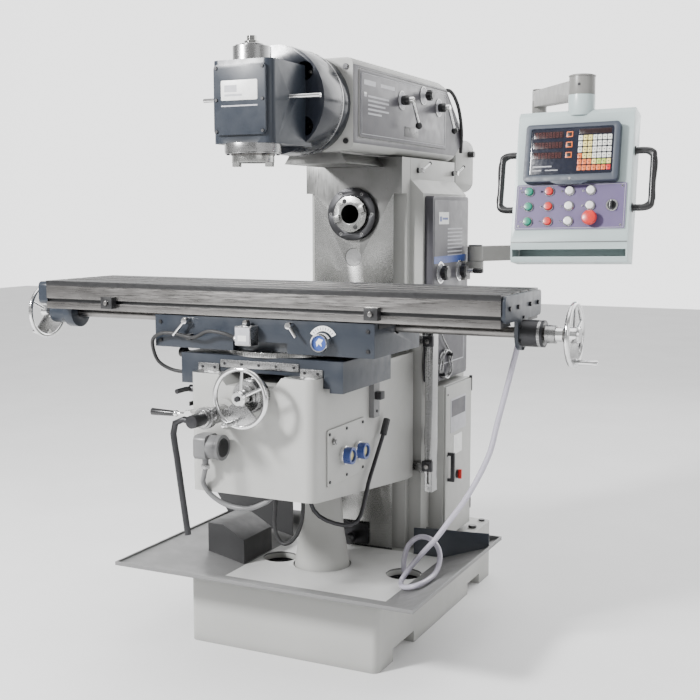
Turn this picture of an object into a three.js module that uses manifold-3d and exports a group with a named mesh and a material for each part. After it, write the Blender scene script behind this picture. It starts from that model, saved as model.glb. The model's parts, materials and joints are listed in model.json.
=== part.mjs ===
// A universal knee-type milling machine: a horizontal spindle in the column, a swivelling vertical
// head on a ram, a swivel table on a knee, and a hanging control pendant.
// Millimetres. +X right, +Y back, +Z up. Y = 0 is the column's front way face, Z = 0 the floor.
import * as THREE from "three";
import { ConvexGeometry } from "three/addons/geometries/ConvexGeometry.js";
import { mergeVertices } from "three/addons/utils/BufferGeometryUtils.js";
import Module from "manifold-3d";

const wasm = await Module();
wasm.setup();

// ---------------------------------------------------------------- driving dimensions
const GAP = 0.3; // left between pieces that touch
const ROUND = 28; // sides of a large round piece
const SMALL = 14; // sides of a small round piece

const BASE = { halfX: 352, halfY: 560, top: 225, wall: 24, forkHeight: 42 };
const FORK_SLOTS = [[-437, -255], [284, 420]]; // from and to along Y
const TRAY = { halfX: 540, front: -727, back: 115, low: 286, rim: 298, sheet: 6 };
const TRAY_FLOOR = { left: -236, right: 362, front: -520, z: 231 };
const SPLASH = { y: -14, x0: 249 }; // the cross walls beside the column
const PUMP_COVER = { y0: -388, y1: -192, x0: -388, x1: -240, top: 365, low: 318 };
const DRAINS = [[-170, -252], [305, -238]];
const DRAIN_R = 62;
const SCREW = { x: 0, y: -255, r: 18, low: 345, high: 715 };
const COLUMN = { halfX: 240, halfFront: 190, halfWay: 158, back: 524, shoulder: 1529, blockLow: 1579, top: 1655 };
const WAY = { neck: 128, depth: 45 };
const SIDE_BOX = { x0: 240, x1: 272, y0: 91, y1: 464, z0: 842, z1: 1520 };
const CABINET = { x1: 296, y0: 156, y1: 440, z0: 242, z1: 825, door: 8 };
const NOSE = { z: 1454.4, r: 64.3, bore: 34.9, capR: 94, out: 30, bodyR: 45, length: 190 };
const RAIL = { x: 300, halfX: 15, y0: -6, y1: 44, z0: 463, z1: 1085 };
const KNEE = { halfX: 222, front: -742, top: 962, low: 585, rearLow: 504, wall: 36, corner: 34 };
const CROSS = { x: 20, z: 908, wheelY: -830, r: 96 };
const CRANK = { x: -85, z: 845, y: -925, rod: 10 };
const SADDLE = { halfX: 289, front: -680, back: -320, low: 917, top: 1014, discR: 190 };
const SWIVEL = { y: -500 };
const TBASE = { halfX: 391, front: -676, back: -324, low: 1029, top: 1133 };
const TABLE = { x0: -832, x1: 780, front: -683, back: -318, low: 1137, top: 1231 };
const TSLOT = { pitch: 80, width: 18, deep: 36, footWidth: 32, footHeight: 14 };
const DOVE = { foot: 88, head: 106, height: 30 };
const FEED = { y: -505, z: 1109.5, r: 16, left: -965, right: 927, wheelR: 98 };
const RAM = { halfX: 169, front: -358, back: 646, low: 1662, top: 1955 };
const HEAD = { z: 1808, r: 168, rim: -560, front: -772, halfX: 103, low: 1664, top: 1907, spindleY: -705 };
const ARM = { x: 308, y: 450, z0: 1274, z1: 1332, width: 50 };
const POST = { x: 465, y: 744, z0: 1879, z1: 1941 };
const HANG = { x: 848, y: -104, r: 41, z0: 1814, z1: 1876, split: 1828, top: 1888 };
const PANEL = { x: 843, y: -190, z: 1547, width: 367, height: 486, depth: 92, tilt: 14, roll: 1.2 };

const finish = (color, roughness, metalness = 0) =>
  new THREE.MeshStandardMaterial({ color, roughness, metalness });
const FINISH = {
  light: finish(0xd2d2cd, 0.45),
  blue: finish(0x3f4859, 0.45),
  grey: finish(0x8d8f90, 0.5),
  purple: finish(0x6e6c7c, 0.5),
  steel: finish(0xb4b4b2, 0.32, 1),
  chrome: finish(0xdadada, 0.15, 1),
  black: finish(0x151517, 0.4),
  iron: finish(0x4b4c4e, 0.5, 0.6),
  mint: finish(0xc3d1d0, 0.5),
  bezel: finish(0x57606e, 0.5),
  arm: finish(0xa9a7a2, 0.5),
  hose: finish(0x8f86a0, 0.35),
  green: finish(0x1f8f78, 0.35),
  red: finish(0xd42a26, 0.35),
  white: finish(0xeeeeee, 0.35),
};

// ---------------------------------------------------------------- solids
// A closed three.js geometry as a manifold-3d solid, turned to face outward if it doesn't.
function solid(geometry) {
  const bare = geometry.clone();
  bare.deleteAttribute("normal");
  bare.deleteAttribute("uv");
  const merged = mergeVertices(bare, 1e-4);
  const triVerts = new Uint32Array(merged.index.array);
  const make = () =>
    new wasm.Manifold(
      new wasm.Mesh({ numProp: 3, vertProperties: merged.attributes.position.array, triVerts }),
    );
  const made = make();
  if (made.volume() >= 0) return made;
  for (let i = 0; i < triVerts.length; i += 3)
    [triVerts[i + 1], triVerts[i + 2]] = [triVerts[i + 2], triVerts[i + 1]];
  return make();
}

function geometryOf(shape) {
  const mesh = shape.getMesh();
  return new THREE.BufferGeometry()
    .setAttribute("position", new THREE.BufferAttribute(new Float32Array(mesh.vertProperties), 3))
    .setIndex(new THREE.BufferAttribute(new Uint32Array(mesh.triVerts), 1));
}

const join = (...shapes) => shapes.reduce((a, b) => a.add(b));
const cut = (first, ...tools) => tools.reduce((a, b) => a.subtract(b), first);
const common = (a, b) => a.intersect(b);

function box(x0, x1, y0, y1, z0, z1) {
  const g = new THREE.BoxGeometry(x1 - x0, y1 - y0, z1 - z0);
  return solid(g.translate((x0 + x1) / 2, (y0 + y1) / 2, (z0 + z1) / 2));
}

// Turns a shape made along +Y so that it runs along the named axis, then moves it to its place.
function along(geometry, axis, x, y, z) {
  if (axis === "x") geometry.rotateZ(-Math.PI / 2);
  if (axis === "z") geometry.rotateX(Math.PI / 2);
  return solid(geometry.translate(x, y, z));
}

// A round bar along an axis, from and to along it, centred at the other two coordinates.
function rod(axis, r, from, to, u, v, sides = ROUND, endR = r) {
  const g = new THREE.CylinderGeometry(endR, r, to - from, sides);
  const mid = (from + to) / 2;
  if (axis === "x") return along(g, axis, mid, u, v);
  return axis === "y" ? along(g, axis, u, mid, v) : along(g, axis, u, v, mid);
}

const ring = (axis, r, inner, from, to, u, v, sides = ROUND) =>
  cut(rod(axis, r, from, to, u, v, sides), rod(axis, inner, from - 1, to + 1, u, v, sides));

// An outline extruded along an axis: (y, z) along x, (x, z) along y, (x, y) along z.
function prism(axis, outline, from, to) {
  const shape = Array.isArray(outline)
    ? new THREE.Shape(outline.map(([u, v]) => new THREE.Vector2(u, v)))
    : outline;
  const g = new THREE.ExtrudeGeometry(shape, {
    depth: to - from,
    bevelEnabled: false,
    curveSegments: 5,
  });
  const m = new THREE.Matrix4();
  const [X, Y, Z] = [[1, 0, 0], [0, 1, 0], [0, 0, 1]].map((v) => new THREE.Vector3(...v));
  if (axis === "x") m.makeBasis(Y, Z, X).setPosition(from, 0, 0);
  if (axis === "y") m.makeBasis(X, Z, Y.negate()).setPosition(0, to, 0);
  if (axis === "z") m.makeBasis(X, Y, Z).setPosition(0, 0, from);
  return solid(g.applyMatrix4(m));
}

function roundedOutline(u0, u1, v0, v1, r) {
  const s = new THREE.Shape();
  s.moveTo(u0 + r, v0);
  s.lineTo(u1 - r, v0);
  s.absarc(u1 - r, v0 + r, r, -Math.PI / 2, 0);
  s.lineTo(u1, v1 - r);
  s.absarc(u1 - r, v1 - r, r, 0, Math.PI / 2);
  s.lineTo(u0 + r, v1);
  s.absarc(u0 + r, v1 - r, r, Math.PI / 2, Math.PI);
  s.lineTo(u0, v0 + r);
  s.absarc(u0 + r, v0 + r, r, Math.PI, 1.5 * Math.PI);
  return s;
}

// A bent round bar through a list of points.
function tube(points, r, steps, sides = 10) {
  const path = new THREE.CatmullRomCurve3(
    points.map((p) => new THREE.Vector3(...p)),
    false,
    "centripetal",
  );
  const section = new THREE.Shape();
  section.absarc(0, 0, r, 0, 2 * Math.PI);
  const g = new THREE.ExtrudeGeometry(section, {
    steps,
    curveSegments: sides / 2,
    bevelEnabled: false,
    extrudePath: path,
  });
  return solid(g);
}

const hull = (points) => solid(new ConvexGeometry(points.map((p) => new THREE.Vector3(...p))));

// A turned piece: the profile is (radius, distance along the axis) and starts and ends on the axis.
function turned(axis, profile, u, v, sides = ROUND) {
  const g = new THREE.LatheGeometry(profile.map(([r, t]) => new THREE.Vector2(r, t)), sides);
  if (axis === "x") return along(g, axis, 0, u, v);
  return axis === "y" ? along(g, axis, u, 0, v) : along(g, axis, u, v, 0);
}

const machine = new THREE.Group();
function add(name, shape, material, parent = machine) {
  const mesh = new THREE.Mesh(geometryOf(shape), material);
  mesh.name = name;
  parent.add(mesh);
  return mesh;
}

// ---------------------------------------------------------------- base and chip tray
function base() {
  const [front, rear] = FORK_SLOTS;
  const h = BASE.forkHeight;
  const side = [
    [-BASE.halfY, 0], [front[0], 0], [front[0], h], [front[1], h], [front[1], 0],
    [rear[0], 0], [rear[0], h], [rear[1], h], [rear[1], 0],
    [BASE.halfY, 0], [BASE.halfY, BASE.top], [-BASE.halfY, BASE.top],
  ];
  const plan = roundedOutline(-BASE.halfX, BASE.halfX, -BASE.halfY, BASE.halfY, 24);
  const inX = BASE.halfX - BASE.wall;
  const inY = BASE.halfY - BASE.wall;
  return cut(
    common(prism("x", side, -BASE.halfX, BASE.halfX), prism("z", plan, 0, BASE.top)),
    box(-inX, inX, -inY, inY, 72, BASE.top - BASE.wall),
    rod("z", 60, BASE.top - 40, BASE.top + 5, SCREW.x, SCREW.y),
    ...DRAINS.map(([x, y]) => rod("z", DRAIN_R - 4, BASE.top - 40, BASE.top + 5, x, y)),
  );
}

const rectangle = (halfX, front, back, z) =>
  [[-halfX, front, z], [halfX, front, z], [halfX, back, z], [-halfX, back, z]];

function chipTray() {
  const { halfX, front, back, low, rim, sheet } = TRAY;
  const z0 = BASE.top + GAP;
  const inX = halfX - sheet;
  const inLow = low + sheet;
  const outside = join(
    hull([...rectangle(BASE.halfX, -BASE.halfY, back, z0), ...rectangle(halfX, front, back, low)]),
    box(-halfX, halfX, front, back, low - 0.5, rim),
  );
  const { left, right, z } = TRAY_FLOOR;
  const floor = [left, right].flatMap((x) => [[x, TRAY_FLOOR.front, z], [x, back - sheet, z]]);
  const inside = join(
    hull([...floor, ...rectangle(inX, front + sheet, back - sheet, inLow)]),
    box(-inX, inX, front + sheet, back - sheet, inLow - 0.5, rim + 1),
  );
  const cross = (outline) => prism("y", outline, SPLASH.y, SPLASH.y + sheet);
  const rightWall = cross([[SPLASH.x0, z - 2], [right, z - 2], [inX, inLow - 2], [inX, 341],
    [SPLASH.x0, 327]]);
  const leftWall = cross([[-SPLASH.x0, z - 2], [-inX, inLow - 2], [-590, 372], [-SPLASH.x0, 372]]);
  const cover = PUMP_COVER;
  const pumpCover = prism("y", [[cover.x1, z - 1], [cover.x0, 257], [cover.x0, cover.top],
    [cover.x0 + 62, cover.top], [cover.x1, cover.low]], cover.y0, cover.y1);
  return cut(
    join(cut(outside, inside), rightWall, leftWall, pumpCover),
    box(-SPLASH.x0, SPLASH.x0, -6, back + 5, z0 - 5, rim + 60),
    rod("z", 102, z0 - 5, rim, SCREW.x, SCREW.y),
    ...DRAINS.map(([x, y]) => rod("z", DRAIN_R, z0 - 5, rim, x, y)),
  );
}

function screwPedestal() {
  const z = BASE.top - 1;
  const profile = [[0, z], [98, z], [96, z + 16], [78, 350], [68, 470], [64, 540], [0, 540]];
  return cut(
    turned("z", profile, SCREW.x, SCREW.y),
    rod("z", SCREW.r + 1, z - 1, 545, SCREW.x, SCREW.y, SMALL + 4),
  );
}

// ---------------------------------------------------------------- column
function column() {
  const z0 = BASE.top + GAP;
  const { halfX, halfFront, halfWay, back, shoulder, blockLow, top } = COLUMN;
  const plan = [
    [-halfX, 165], [-halfFront, 75], [-halfFront, WAY.depth], [-WAY.neck, WAY.depth], [-halfWay, 0],
    [halfWay, 0], [WAY.neck, WAY.depth], [halfFront, WAY.depth], [halfFront, 75], [halfX, 75],
    [halfX, back], [-halfX, back],
  ];
  const head = [[-halfX, shoulder], [halfX, shoulder], [191, blockLow], [191, top], [-191, top], [-191, blockLow]];
  const body = join(
    prism("z", plan, z0, shoulder),
    common(prism("y", head, 75 - 0.01, back), prism("z", plan, z0, top)),
    box(-halfFront, halfFront, 0, 75, shoulder - 1, top),
  );
  const hollow = box(-halfX + 30, halfX - 30, 82, back - 30, z0 - 5, shoulder - 20);
  const guide = [[-118, top - 34], [118, top - 34], [96, top + 1], [-96, top + 1]];
  return cut(
    body,
    hollow,
    rod("y", NOSE.bodyR + 1, -5, 230, 0, NOSE.z),
    prism("y", guide, -5, back + 5),
    rod("y", 33, -5, 4, 0, 1299),
  );
}

const railArm = (z) => box(250, RAIL.x, 30, 74.6, z, z + 30);
function stopRail() {
  const bar = box(RAIL.x - RAIL.halfX, RAIL.x + RAIL.halfX, RAIL.y0, RAIL.y1, RAIL.z0, RAIL.z1);
  const slot = box(RAIL.x - 4, RAIL.x + 4, RAIL.y0 - 1, RAIL.y0 + 9, RAIL.z0 + 30, RAIL.z1 - 30);
  const arms = [RAIL.z0 + 60, RAIL.z1 - 90].map(railArm);
  const feet = [RAIL.z0 + 60, RAIL.z1 - 90].map((z) => box(200, 262, 52, 74.6, z, z + 30));
  return cut(join(bar, ...arms, ...feet), slot);
}

function sideBox() {
  const b = SIDE_BOX;
  const shell = prism("x", roundedOutline(b.y0, b.y1, b.z0, b.z1, 14), b.x0 + GAP, b.x1);
  return cut(shell, box(b.x0, b.x1 - 8, b.y0 + 10, b.y1 - 10, b.z0 + 10, b.z1 - 10));
}

function cabinet() {
  const c = CABINET;
  const shell = box(COLUMN.halfX + GAP, c.x1, c.y0, c.y1, c.z0, c.z1);
  return cut(shell, box(COLUMN.halfX + 6, c.x1 + 1, c.y0 + 14, c.y1 - 14, c.z0 + 14, c.z1 - 14));
}

function cabinetDoor() {
  const c = CABINET;
  const x = c.x1 + GAP;
  const leaf = box(x, x + c.door, c.y0 + 4, c.y1 - 4, c.z0 + 4, c.z1 - 4);
  const handle = [
    box(x + c.door - 0.1, x + 30, c.y0 + 22, c.y0 + 36, 462, 474),
    box(x + c.door - 0.1, x + 30, c.y0 + 22, c.y0 + 36, 560, 572),
    box(x + 20, x + 34, c.y0 + 22, c.y0 + 36, 462, 572),
  ];
  return join(leaf, ...handle);
}

function armBracket() {
  const x = SIDE_BOX.x1 + GAP;
  const z1 = ARM.z0 - GAP;
  return join(
    box(x, x + 12, ARM.y - 50, SIDE_BOX.y1 - 2, z1 - 70, z1),
    box(x, ARM.x, ARM.y - 30, ARM.y + 14, z1 - 40, z1),
    rod("z", 32, z1 - 40, z1, ARM.x, ARM.y),
  );
}

// ---------------------------------------------------------------- spindles
// Nose, body and socket along +t, with the nose's face at t = 0, and a thinner shaft behind the body.
function spindle(axis, turn, length, u, v, at, shaft = []) {
  const t = (d) => at + turn * d;
  const profile = [
    [0, t(116)], [17, t(116)], [NOSE.bore, t(0)], [NOSE.r, t(0)], [NOSE.r, t(NOSE.out - GAP)],
    [NOSE.bodyR, t(NOSE.out - GAP)], [NOSE.bodyR, t(length)],
    ...(shaft.length ? [[shaft[0], t(length)], [shaft[0], t(shaft[1])], [0, t(shaft[1])]] : [[0, t(length)]]),
  ];
  return turned(axis, profile, u, v);
}

function driveKeys(turnDegrees) {
  const key = (s) => {
    const g = new THREE.BoxGeometry(22, 16, 25);
    return solid(g.translate(s * 51, -4, 0).rotateY(THREE.MathUtils.degToRad(turnDegrees)));
  };
  return [key(-1), key(1)];
}

function horizontalSpindle() {
  const [a, b] = driveKeys(-20).map((k) => k.translate([0, -NOSE.out, NOSE.z]));
  return join(spindle("y", 1, NOSE.length, 0, NOSE.z, -NOSE.out), a, b);
}

function bearingCap() {
  const plate = ring("y", NOSE.capR, NOSE.r + 1.5, -18, -GAP, 0, NOSE.z, 36);
  const screws = [...Array(6).keys()].map((i) => {
    const a = (i * Math.PI) / 3;
    return rod("y", 6, -20, -12, 81.5 * Math.cos(a), NOSE.z + 81.5 * Math.sin(a), 8);
  });
  return cut(plate, ...screws);
}

// ---------------------------------------------------------------- ram and vertical head
function ram() {
  const { front, back, low, top, halfX } = RAM;
  const side = [
    [front, low], [COLUMN.back + 20, low], [back, low + 60], [back, 1800], [484, 1932], [409, top], [front, top],
  ];
  const section = roundedOutline(-halfX, halfX, low, top, 22);
  const body = common(prism("x", side, -halfX, halfX), prism("y", section, front, back));
  const t = COLUMN.top;
  const foot = [[-117, t - 33], [117, t - 33], [95, t + 0.5], [95, low + 1], [-95, low + 1], [-95, t + 0.5]];
  const slide = prism("y", foot, front + 60, COLUMN.back + 20);
  const inside = [[front + 40, low + 40], [back + 5, low + 95], [back + 5, 1775], [460, top - 48], [front + 40, top - 38]];
  const hollow = prism("x", inside, -halfX + 30, halfX - 30);
  const panel = box(halfX - 2, halfX + 1, -318, 476, 1702, 1926);
  return cut(join(body, slide), hollow, panel);
}

function ramSidePlate() {
  const x = RAM.halfX - 3;
  return prism("x", roundedOutline(-315, 473, 1705, 1923, 10), x, x + 6);
}

function ramMotor() {
  const y = RAM.back + GAP;
  const hood = prism("y", roundedOutline(-150, 150, 1545, 1762, 44), y, y + 215);
  return cut(hood, prism("y", roundedOutline(-134, 134, 1561, 1746, 30), y - 1, y + 195));
}

const ramFlange = () => join(
  rod("y", 161, -405, RAM.front - GAP, 0, HEAD.z, 40),
  rod("y", 150, -420, -405 + 0.1, 0, HEAD.z, 40),
);

function headBody() {
  const drum = ring("y", HEAD.r, 1, HEAD.rim, -420 - GAP, 0, HEAD.z, 40);
  const core = rod("y", 60, HEAD.rim, -421, 0, HEAD.z);
  const lips = [40, 320].map((deg) => {
    const a = THREE.MathUtils.degToRad(deg);
    return rod("y", 30, HEAD.rim - 1, HEAD.rim + 60, 130 * Math.cos(a), HEAD.z + 130 * Math.sin(a), 16);
  });
  const plan = roundedOutline(-HEAD.halfX, HEAD.halfX, HEAD.front, HEAD.rim + 60, 26);
  const block = prism("z", plan, HEAD.low, HEAD.top);
  const crown = rod("z", 58, HEAD.top - 1, 1950, 0, HEAD.spindleY);
  const collar = rod("z", 86, 1639, HEAD.low + 1, 0, HEAD.spindleY);
  const crossRod = rod("x", 6.5, -201, 206, -660, 1805, SMALL);
  return cut(
    join(drum, core, block, crown, collar, crossRod),
    ...lips,
    rod("z", NOSE.bodyR + 1, 1600, 1700, 0, HEAD.spindleY),
    rod("z", 31, 1690, 1960, 0, HEAD.spindleY),
  );
}

const headCover = () =>
  prism("y", roundedOutline(-88, 88, 1688, 1893, 14), HEAD.front - 10, HEAD.front + 1);

function verticalSpindle() {
  const face = 1609;
  const nose = spindle("z", 1, 80, 0, HEAD.spindleY, face, [29, 331]);
  const keys = driveKeys(15).map((k) => k.rotate([90, 0, 0]).translate([0, HEAD.spindleY, face]));
  return join(nose, ...keys);
}

const drawbar = () => join(
  rod("z", 15, 1939, 1968, 0, HEAD.spindleY, 16),
  rod("z", 22.5, 1953, 1968, 0, HEAD.spindleY, 6),
  rod("z", 15, 1967, 1983, 0, HEAD.spindleY, 6),
);

// ---------------------------------------------------------------- levers
// A hub on a side face that points along +X, with a round arm that leans back and down.
function sideLever(x, y, z, dy, dz) {
  const x1 = x + 42;
  return join(
    rod("x", 17, x + GAP, x + 30, y, z, 18),
    rod("x", 11, x + 29, x1 + 6, y, z, SMALL),
    tube([[x1, y, z], [x1 + 4, y + dy / 2, z + dz / 2], [x1 + 8, y + dy, z + dz]], 6, 2, 8),
    solid(new THREE.SphereGeometry(13, 12, 8).translate(x1 + 8, y + dy, z + dz)),
  );
}

const roundKnob = (x, y, z, reach, r = 17) => join(
  rod("x", 9, x + GAP, x + reach, y, z, SMALL),
  rod("x", r, x + reach - 26, x + reach, y, z, 20),
);

// A small clamp lever: a stud along the axis and a bar across it.
const clampLever = (stud, ...points) => join(stud, tube(points, 5, 2, 8));

// ---------------------------------------------------------------- knee
function knee() {
  const k = KNEE;
  const side = [[k.front, k.low], [-6, k.rearLow], [-6, k.top], [k.front, k.top]];
  const plan = roundedOutline(-k.halfX, k.halfX, k.front, 60, k.corner);
  const body = common(prism("x", side, -k.halfX, k.halfX), prism("z", plan, k.rearLow, k.top));
  const claws = [-1, 1].map((s) => {
    const outer = [[s * 165, -7], [s * k.halfX, -7], [s * k.halfX, 38], [s * 135, 38]];
    return prism("z", s > 0 ? outer : outer.reverse(), k.rearLow, k.top);
  });
  const cavity = cut(
    box(-k.halfX + k.wall, k.halfX - k.wall, k.front + k.wall, -60, k.rearLow - 60, 900),
    box(-k.halfX, k.halfX, SCREW.y - 50, SCREW.y + 50, SCREW.high + GAP, SCREW.high + 40),
    box(98, 132, -600, -520, k.rearLow, 901),
  );
  const trough = prism("y", [[-112, k.top + 1], [-84, 928], [84, 928], [112, k.top + 1]], k.front - 1, -5);
  const flange = rod("y", 53, -772, k.front + 1, CROSS.x, CROSS.z);
  const nose = rod("y", 34, -800, -771, CROSS.x, CROSS.z);
  const crankBoss = rod("y", 26, -880, k.front + 1, CRANK.x, CRANK.z, 20);
  const limitBar = box(k.halfX - 1, k.halfX + 18, -345, -300, 785, 925);
  return cut(
    join(body, ...claws, flange, nose, crankBoss, limitBar),
    cavity,
    trough,
    rod("y", 14.5, -801, -350, CROSS.x, CROSS.z, 18),
    rod("y", 10.5, -881, -690, CRANK.x, CRANK.z, 16),
  );
}

// A rim, a hub, one wide fan-shaped web and two thin spokes, turning about Y at the origin.
function wheel(r) {
  const rim = new THREE.TorusGeometry(r - 8, 8, 8, 36).rotateX(Math.PI / 2);
  const hub = new THREE.CylinderGeometry(20, 24, 34, 20);
  const fan = new THREE.Shape();
  fan.moveTo(0, 0);
  fan.absarc(0, 0, r - 8, (-145 * Math.PI) / 180, (-45 * Math.PI) / 180);
  fan.lineTo(0, 0);
  const spoke = (deg) => {
    const a = THREE.MathUtils.degToRad(deg);
    return solid(new THREE.BoxGeometry(r - 18, 6, 9).translate((r - 6) / 2, 0, 0).rotateY(-a));
  };
  return join(solid(rim), solid(hub), prism("y", fan, -4, 4), spoke(85), spoke(25));
}

function crossHandwheel() {
  const at = [CROSS.x, CROSS.wheelY, CROSS.z];
  return join(
    wheel(CROSS.r).translate(at),
    rod("y", 13, CROSS.wheelY + 10, -360, CROSS.x, CROSS.z, 16),
    rod("y", 9, CROSS.wheelY - 72, CROSS.wheelY, CROSS.x - 18, CROSS.z - 74, SMALL, 7),
  );
}

function elevatingCrank() {
  const { x, y, z } = CRANK;
  return join(
    rod("y", 9.5, y, -700, x, z, 16),
    rod("y", 20, y - 12, -880 - GAP, x, z, 18),
    tube([[x, y, z], [x - 50, y, z + 2], [x - 70, y, z - 22], [x - 58, y, z - 130], [x - 26, y, z - 348]],
      CRANK.rod, 12),
  );
}

const elevatingScrew = () =>
  rod("z", SCREW.r, SCREW.low, SCREW.high, SCREW.x, SCREW.y, SMALL + 4);

function controlBox() {
  const y = KNEE.front - GAP;
  const housing = prism("x", roundedOutline(y - 78, y, 702, 778, 18), -158, -116);
  return join(housing, rod("x", 37, -117, -72, y - 41, 740, 24), rod("z", 10, 676, 703, -138, y - 40, SMALL));
}

function feedLever() {
  const y = KNEE.front - 18;
  return join(
    rod("y", 15, y - 8, KNEE.front - GAP, -205, 830, 16),
    rod("x", 6, -262, -204, y, 830, SMALL),
    rod("x", 12, -350, -261, y, 829, SMALL, 9),
  );
}

function kneeLockLever() {
  const x = -KNEE.halfX - GAP;
  return join(rod("x", 12, x - 22, x, -700, 903, SMALL),
    tube([[x - 16, -700, 903], [x - 24, -722, 903], [x - 30, -765, 900]], 8, 2, 10));
}

function kneeClampLever() {
  const route = [[115, -560, 564], [117, -560, 525], [148, -548, 486], [222, -520, 463],
    [243, -478, 470], [243, -385, 590], [243, -272, 722]];
  return join(tube(route, 7, 20, 8), tube([[243, -275, 718], [243, -245, 765]], 12, 1));
}

// ---------------------------------------------------------------- saddles and table
function lowerSaddle() {
  const s = SADDLE;
  const face = [[-s.halfX, s.low], [s.halfX, s.low], [s.halfX, s.top], [-s.halfX, s.top]];
  const clear = box(-KNEE.halfX - 0.6, KNEE.halfX + 0.6, s.front - 1, s.back + 1, s.low - 1, KNEE.top + GAP);
  const barClear = box(KNEE.halfX, KNEE.halfX + 22, s.front - 1, s.back + 1, s.low - 1, 930);
  const disc = rod("z", s.discR, s.top - 1, TBASE.low - GAP, 0, SWIVEL.y, 40);
  return cut(join(prism("y", face, s.front, s.back), disc), clear, barClear);
}

function tableBase() {
  const t = TBASE;
  const body = box(-t.halfX, t.halfX, t.front, t.back, t.low, t.top);
  const y = SWIVEL.y;
  const rise = [[y - DOVE.foot, t.top - 1], [y + DOVE.foot, t.top - 1], [y + DOVE.foot, TABLE.low],
    [y + DOVE.head, t.top + DOVE.height], [y - DOVE.head, t.top + DOVE.height], [y - DOVE.foot, TABLE.low]];
  const notch = box(-97, 97, t.front - 1, t.front + 30, t.low - 1, t.low + 32);
  const pockets = [-1, 1].map((s) => {
    const [a, b] = [s * 215, s * (t.halfX - 30)].sort((p, q) => p - q);
    return box(a, b, t.front + 28, t.back - 28, t.low - 1, t.low + 50);
  });
  const switchBlock = box(-62, -6, t.front - 46, t.front + 1, 1052, 1112);
  return cut(
    join(body, prism("x", rise, -t.halfX, t.halfX), switchBlock),
    rod("x", FEED.r + 5, -t.halfX - 1, t.halfX + 1, FEED.y, FEED.z, 20),
    notch,
    ...pockets,
  );
}

function tableSection() {
  const t = TABLE;
  const y = SWIVEL.y;
  const roof = TBASE.top + DOVE.height + 0.6;
  const groove = [[t.front, 1160], [t.front + 11, 1160], [t.front + 11, 1171], [t.front, 1171]];
  const slots = [1, 0, -1].flatMap((i) => {
    const c = y + i * TSLOT.pitch;
    const w = TSLOT.width / 2;
    const f = TSLOT.footWidth / 2;
    const z = t.top - TSLOT.deep;
    return [[c + w, t.top], [c + w, z + TSLOT.footHeight], [c + f, z + TSLOT.footHeight], [c + f, z],
      [c - f, z], [c - f, z + TSLOT.footHeight], [c - w, z + TSLOT.footHeight], [c - w, t.top]];
  });
  return [
    ...groove, [t.front, t.top], ...slots.reverse(), [t.back, t.top], [t.back, t.low],
    [y + DOVE.foot + 0.8, t.low], [y + DOVE.head + 0.8, roof], [y - DOVE.head - 0.8, roof],
    [y - DOVE.foot - 0.8, t.low], [t.front, t.low],
  ];
}

const table = () => prism("x", tableSection(), TABLE.x0, TABLE.x1);

function tableDog(x) {
  return join(box(x - 22, x + 22, TABLE.front - 26, TABLE.front + 0.1, 1146, 1184),
    box(x - 8, x + 8, TABLE.front - 1, TABLE.front + 9, 1161.5, 1169.5));
}

// The end casting: a plate across the table's end and a bearing housing for the feed screw under it.
function tableBracket(end, out, thick) {
  const s = Math.sign(out);
  const span = (a, b) => [Math.min(end + s * a, end + s * b), Math.max(end + s * a, end + s * b)];
  const [p0, p1] = span(GAP, thick);
  const [h0, h1] = span(GAP, Math.abs(out));
  const plate = prism("x", roundedOutline(TABLE.front + 4, TABLE.back - 4, 1150, TABLE.top - 4, 16), p0, p1);
  const lobe = box(p0, p1, FEED.y - 52, FEED.y + 52, FEED.z - 10, 1160);
  return cut(
    join(plate, lobe, rod("x", 52, p0, p1, FEED.y, FEED.z),
      rod("x", 40, h0, h1, FEED.y, FEED.z)),
    rod("x", FEED.r + 1, h0 - 2, h1 + 2, FEED.y, FEED.z, 20),
  );
}

const leadScrew = () => rod("x", FEED.r, FEED.left, FEED.right, FEED.y, FEED.z, 18);

function tableWheel(side) {
  const x = side < 0 ? FEED.left - GAP - 17 : FEED.right + GAP + 17;
  const turn = wheel(FEED.wheelR).rotate([0, 0, side < 0 ? -90 : 90]).translate([x, FEED.y, FEED.z]);
  const grip = rod("x", 9, side < 0 ? x - 72 : x, side < 0 ? x : x + 72, FEED.y, FEED.z - 78, SMALL);
  return join(turn, grip);
}

// ---------------------------------------------------------------- pendant
const armAngle = (from, to) => Math.atan2(to.y - from.y, to.x - from.x);

function lowerArm() {
  const angle = armAngle(ARM, POST);
  const length = Math.hypot(POST.x - ARM.x, POST.y - ARM.y);
  const w = ARM.width / 2;
  const beam = new THREE.BoxGeometry(length, ARM.width, ARM.z1 - ARM.z0);
  beam.translate(length / 2, 0, (ARM.z0 + ARM.z1) / 2).rotateZ(angle).translate(ARM.x, ARM.y, 0);
  return join(
    solid(beam),
    rod("z", w + 5, ARM.z0, ARM.z1, ARM.x, ARM.y),
    rod("z", w + 5, ARM.z0, ARM.z1, POST.x, POST.y),
  );
}

function upperArm() {
  const angle = armAngle(POST, HANG);
  const length = Math.hypot(HANG.x - POST.x, HANG.y - POST.y);
  const w = ARM.width / 2;
  const side = [[-28, POST.z0], [length, HANG.z0], [length, HANG.z1], [-28, POST.z1]];
  const m = new THREE.Matrix4().makeRotationZ(angle).setPosition(POST.x, POST.y, 0);
  const beam = solid(geometryOf(prism("y", side, -w, w)).applyMatrix4(m));
  const clear = rod("z", HANG.r + 2, HANG.z0 - 20, HANG.split, HANG.x, HANG.y);
  return join(
    cut(beam, clear),
    rod("z", w + 4, ARM.z1 + GAP, POST.z0 + 20, POST.x, POST.y),
    rod("z", HANG.r, HANG.split + GAP, HANG.top, HANG.x, HANG.y),
  );
}

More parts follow.
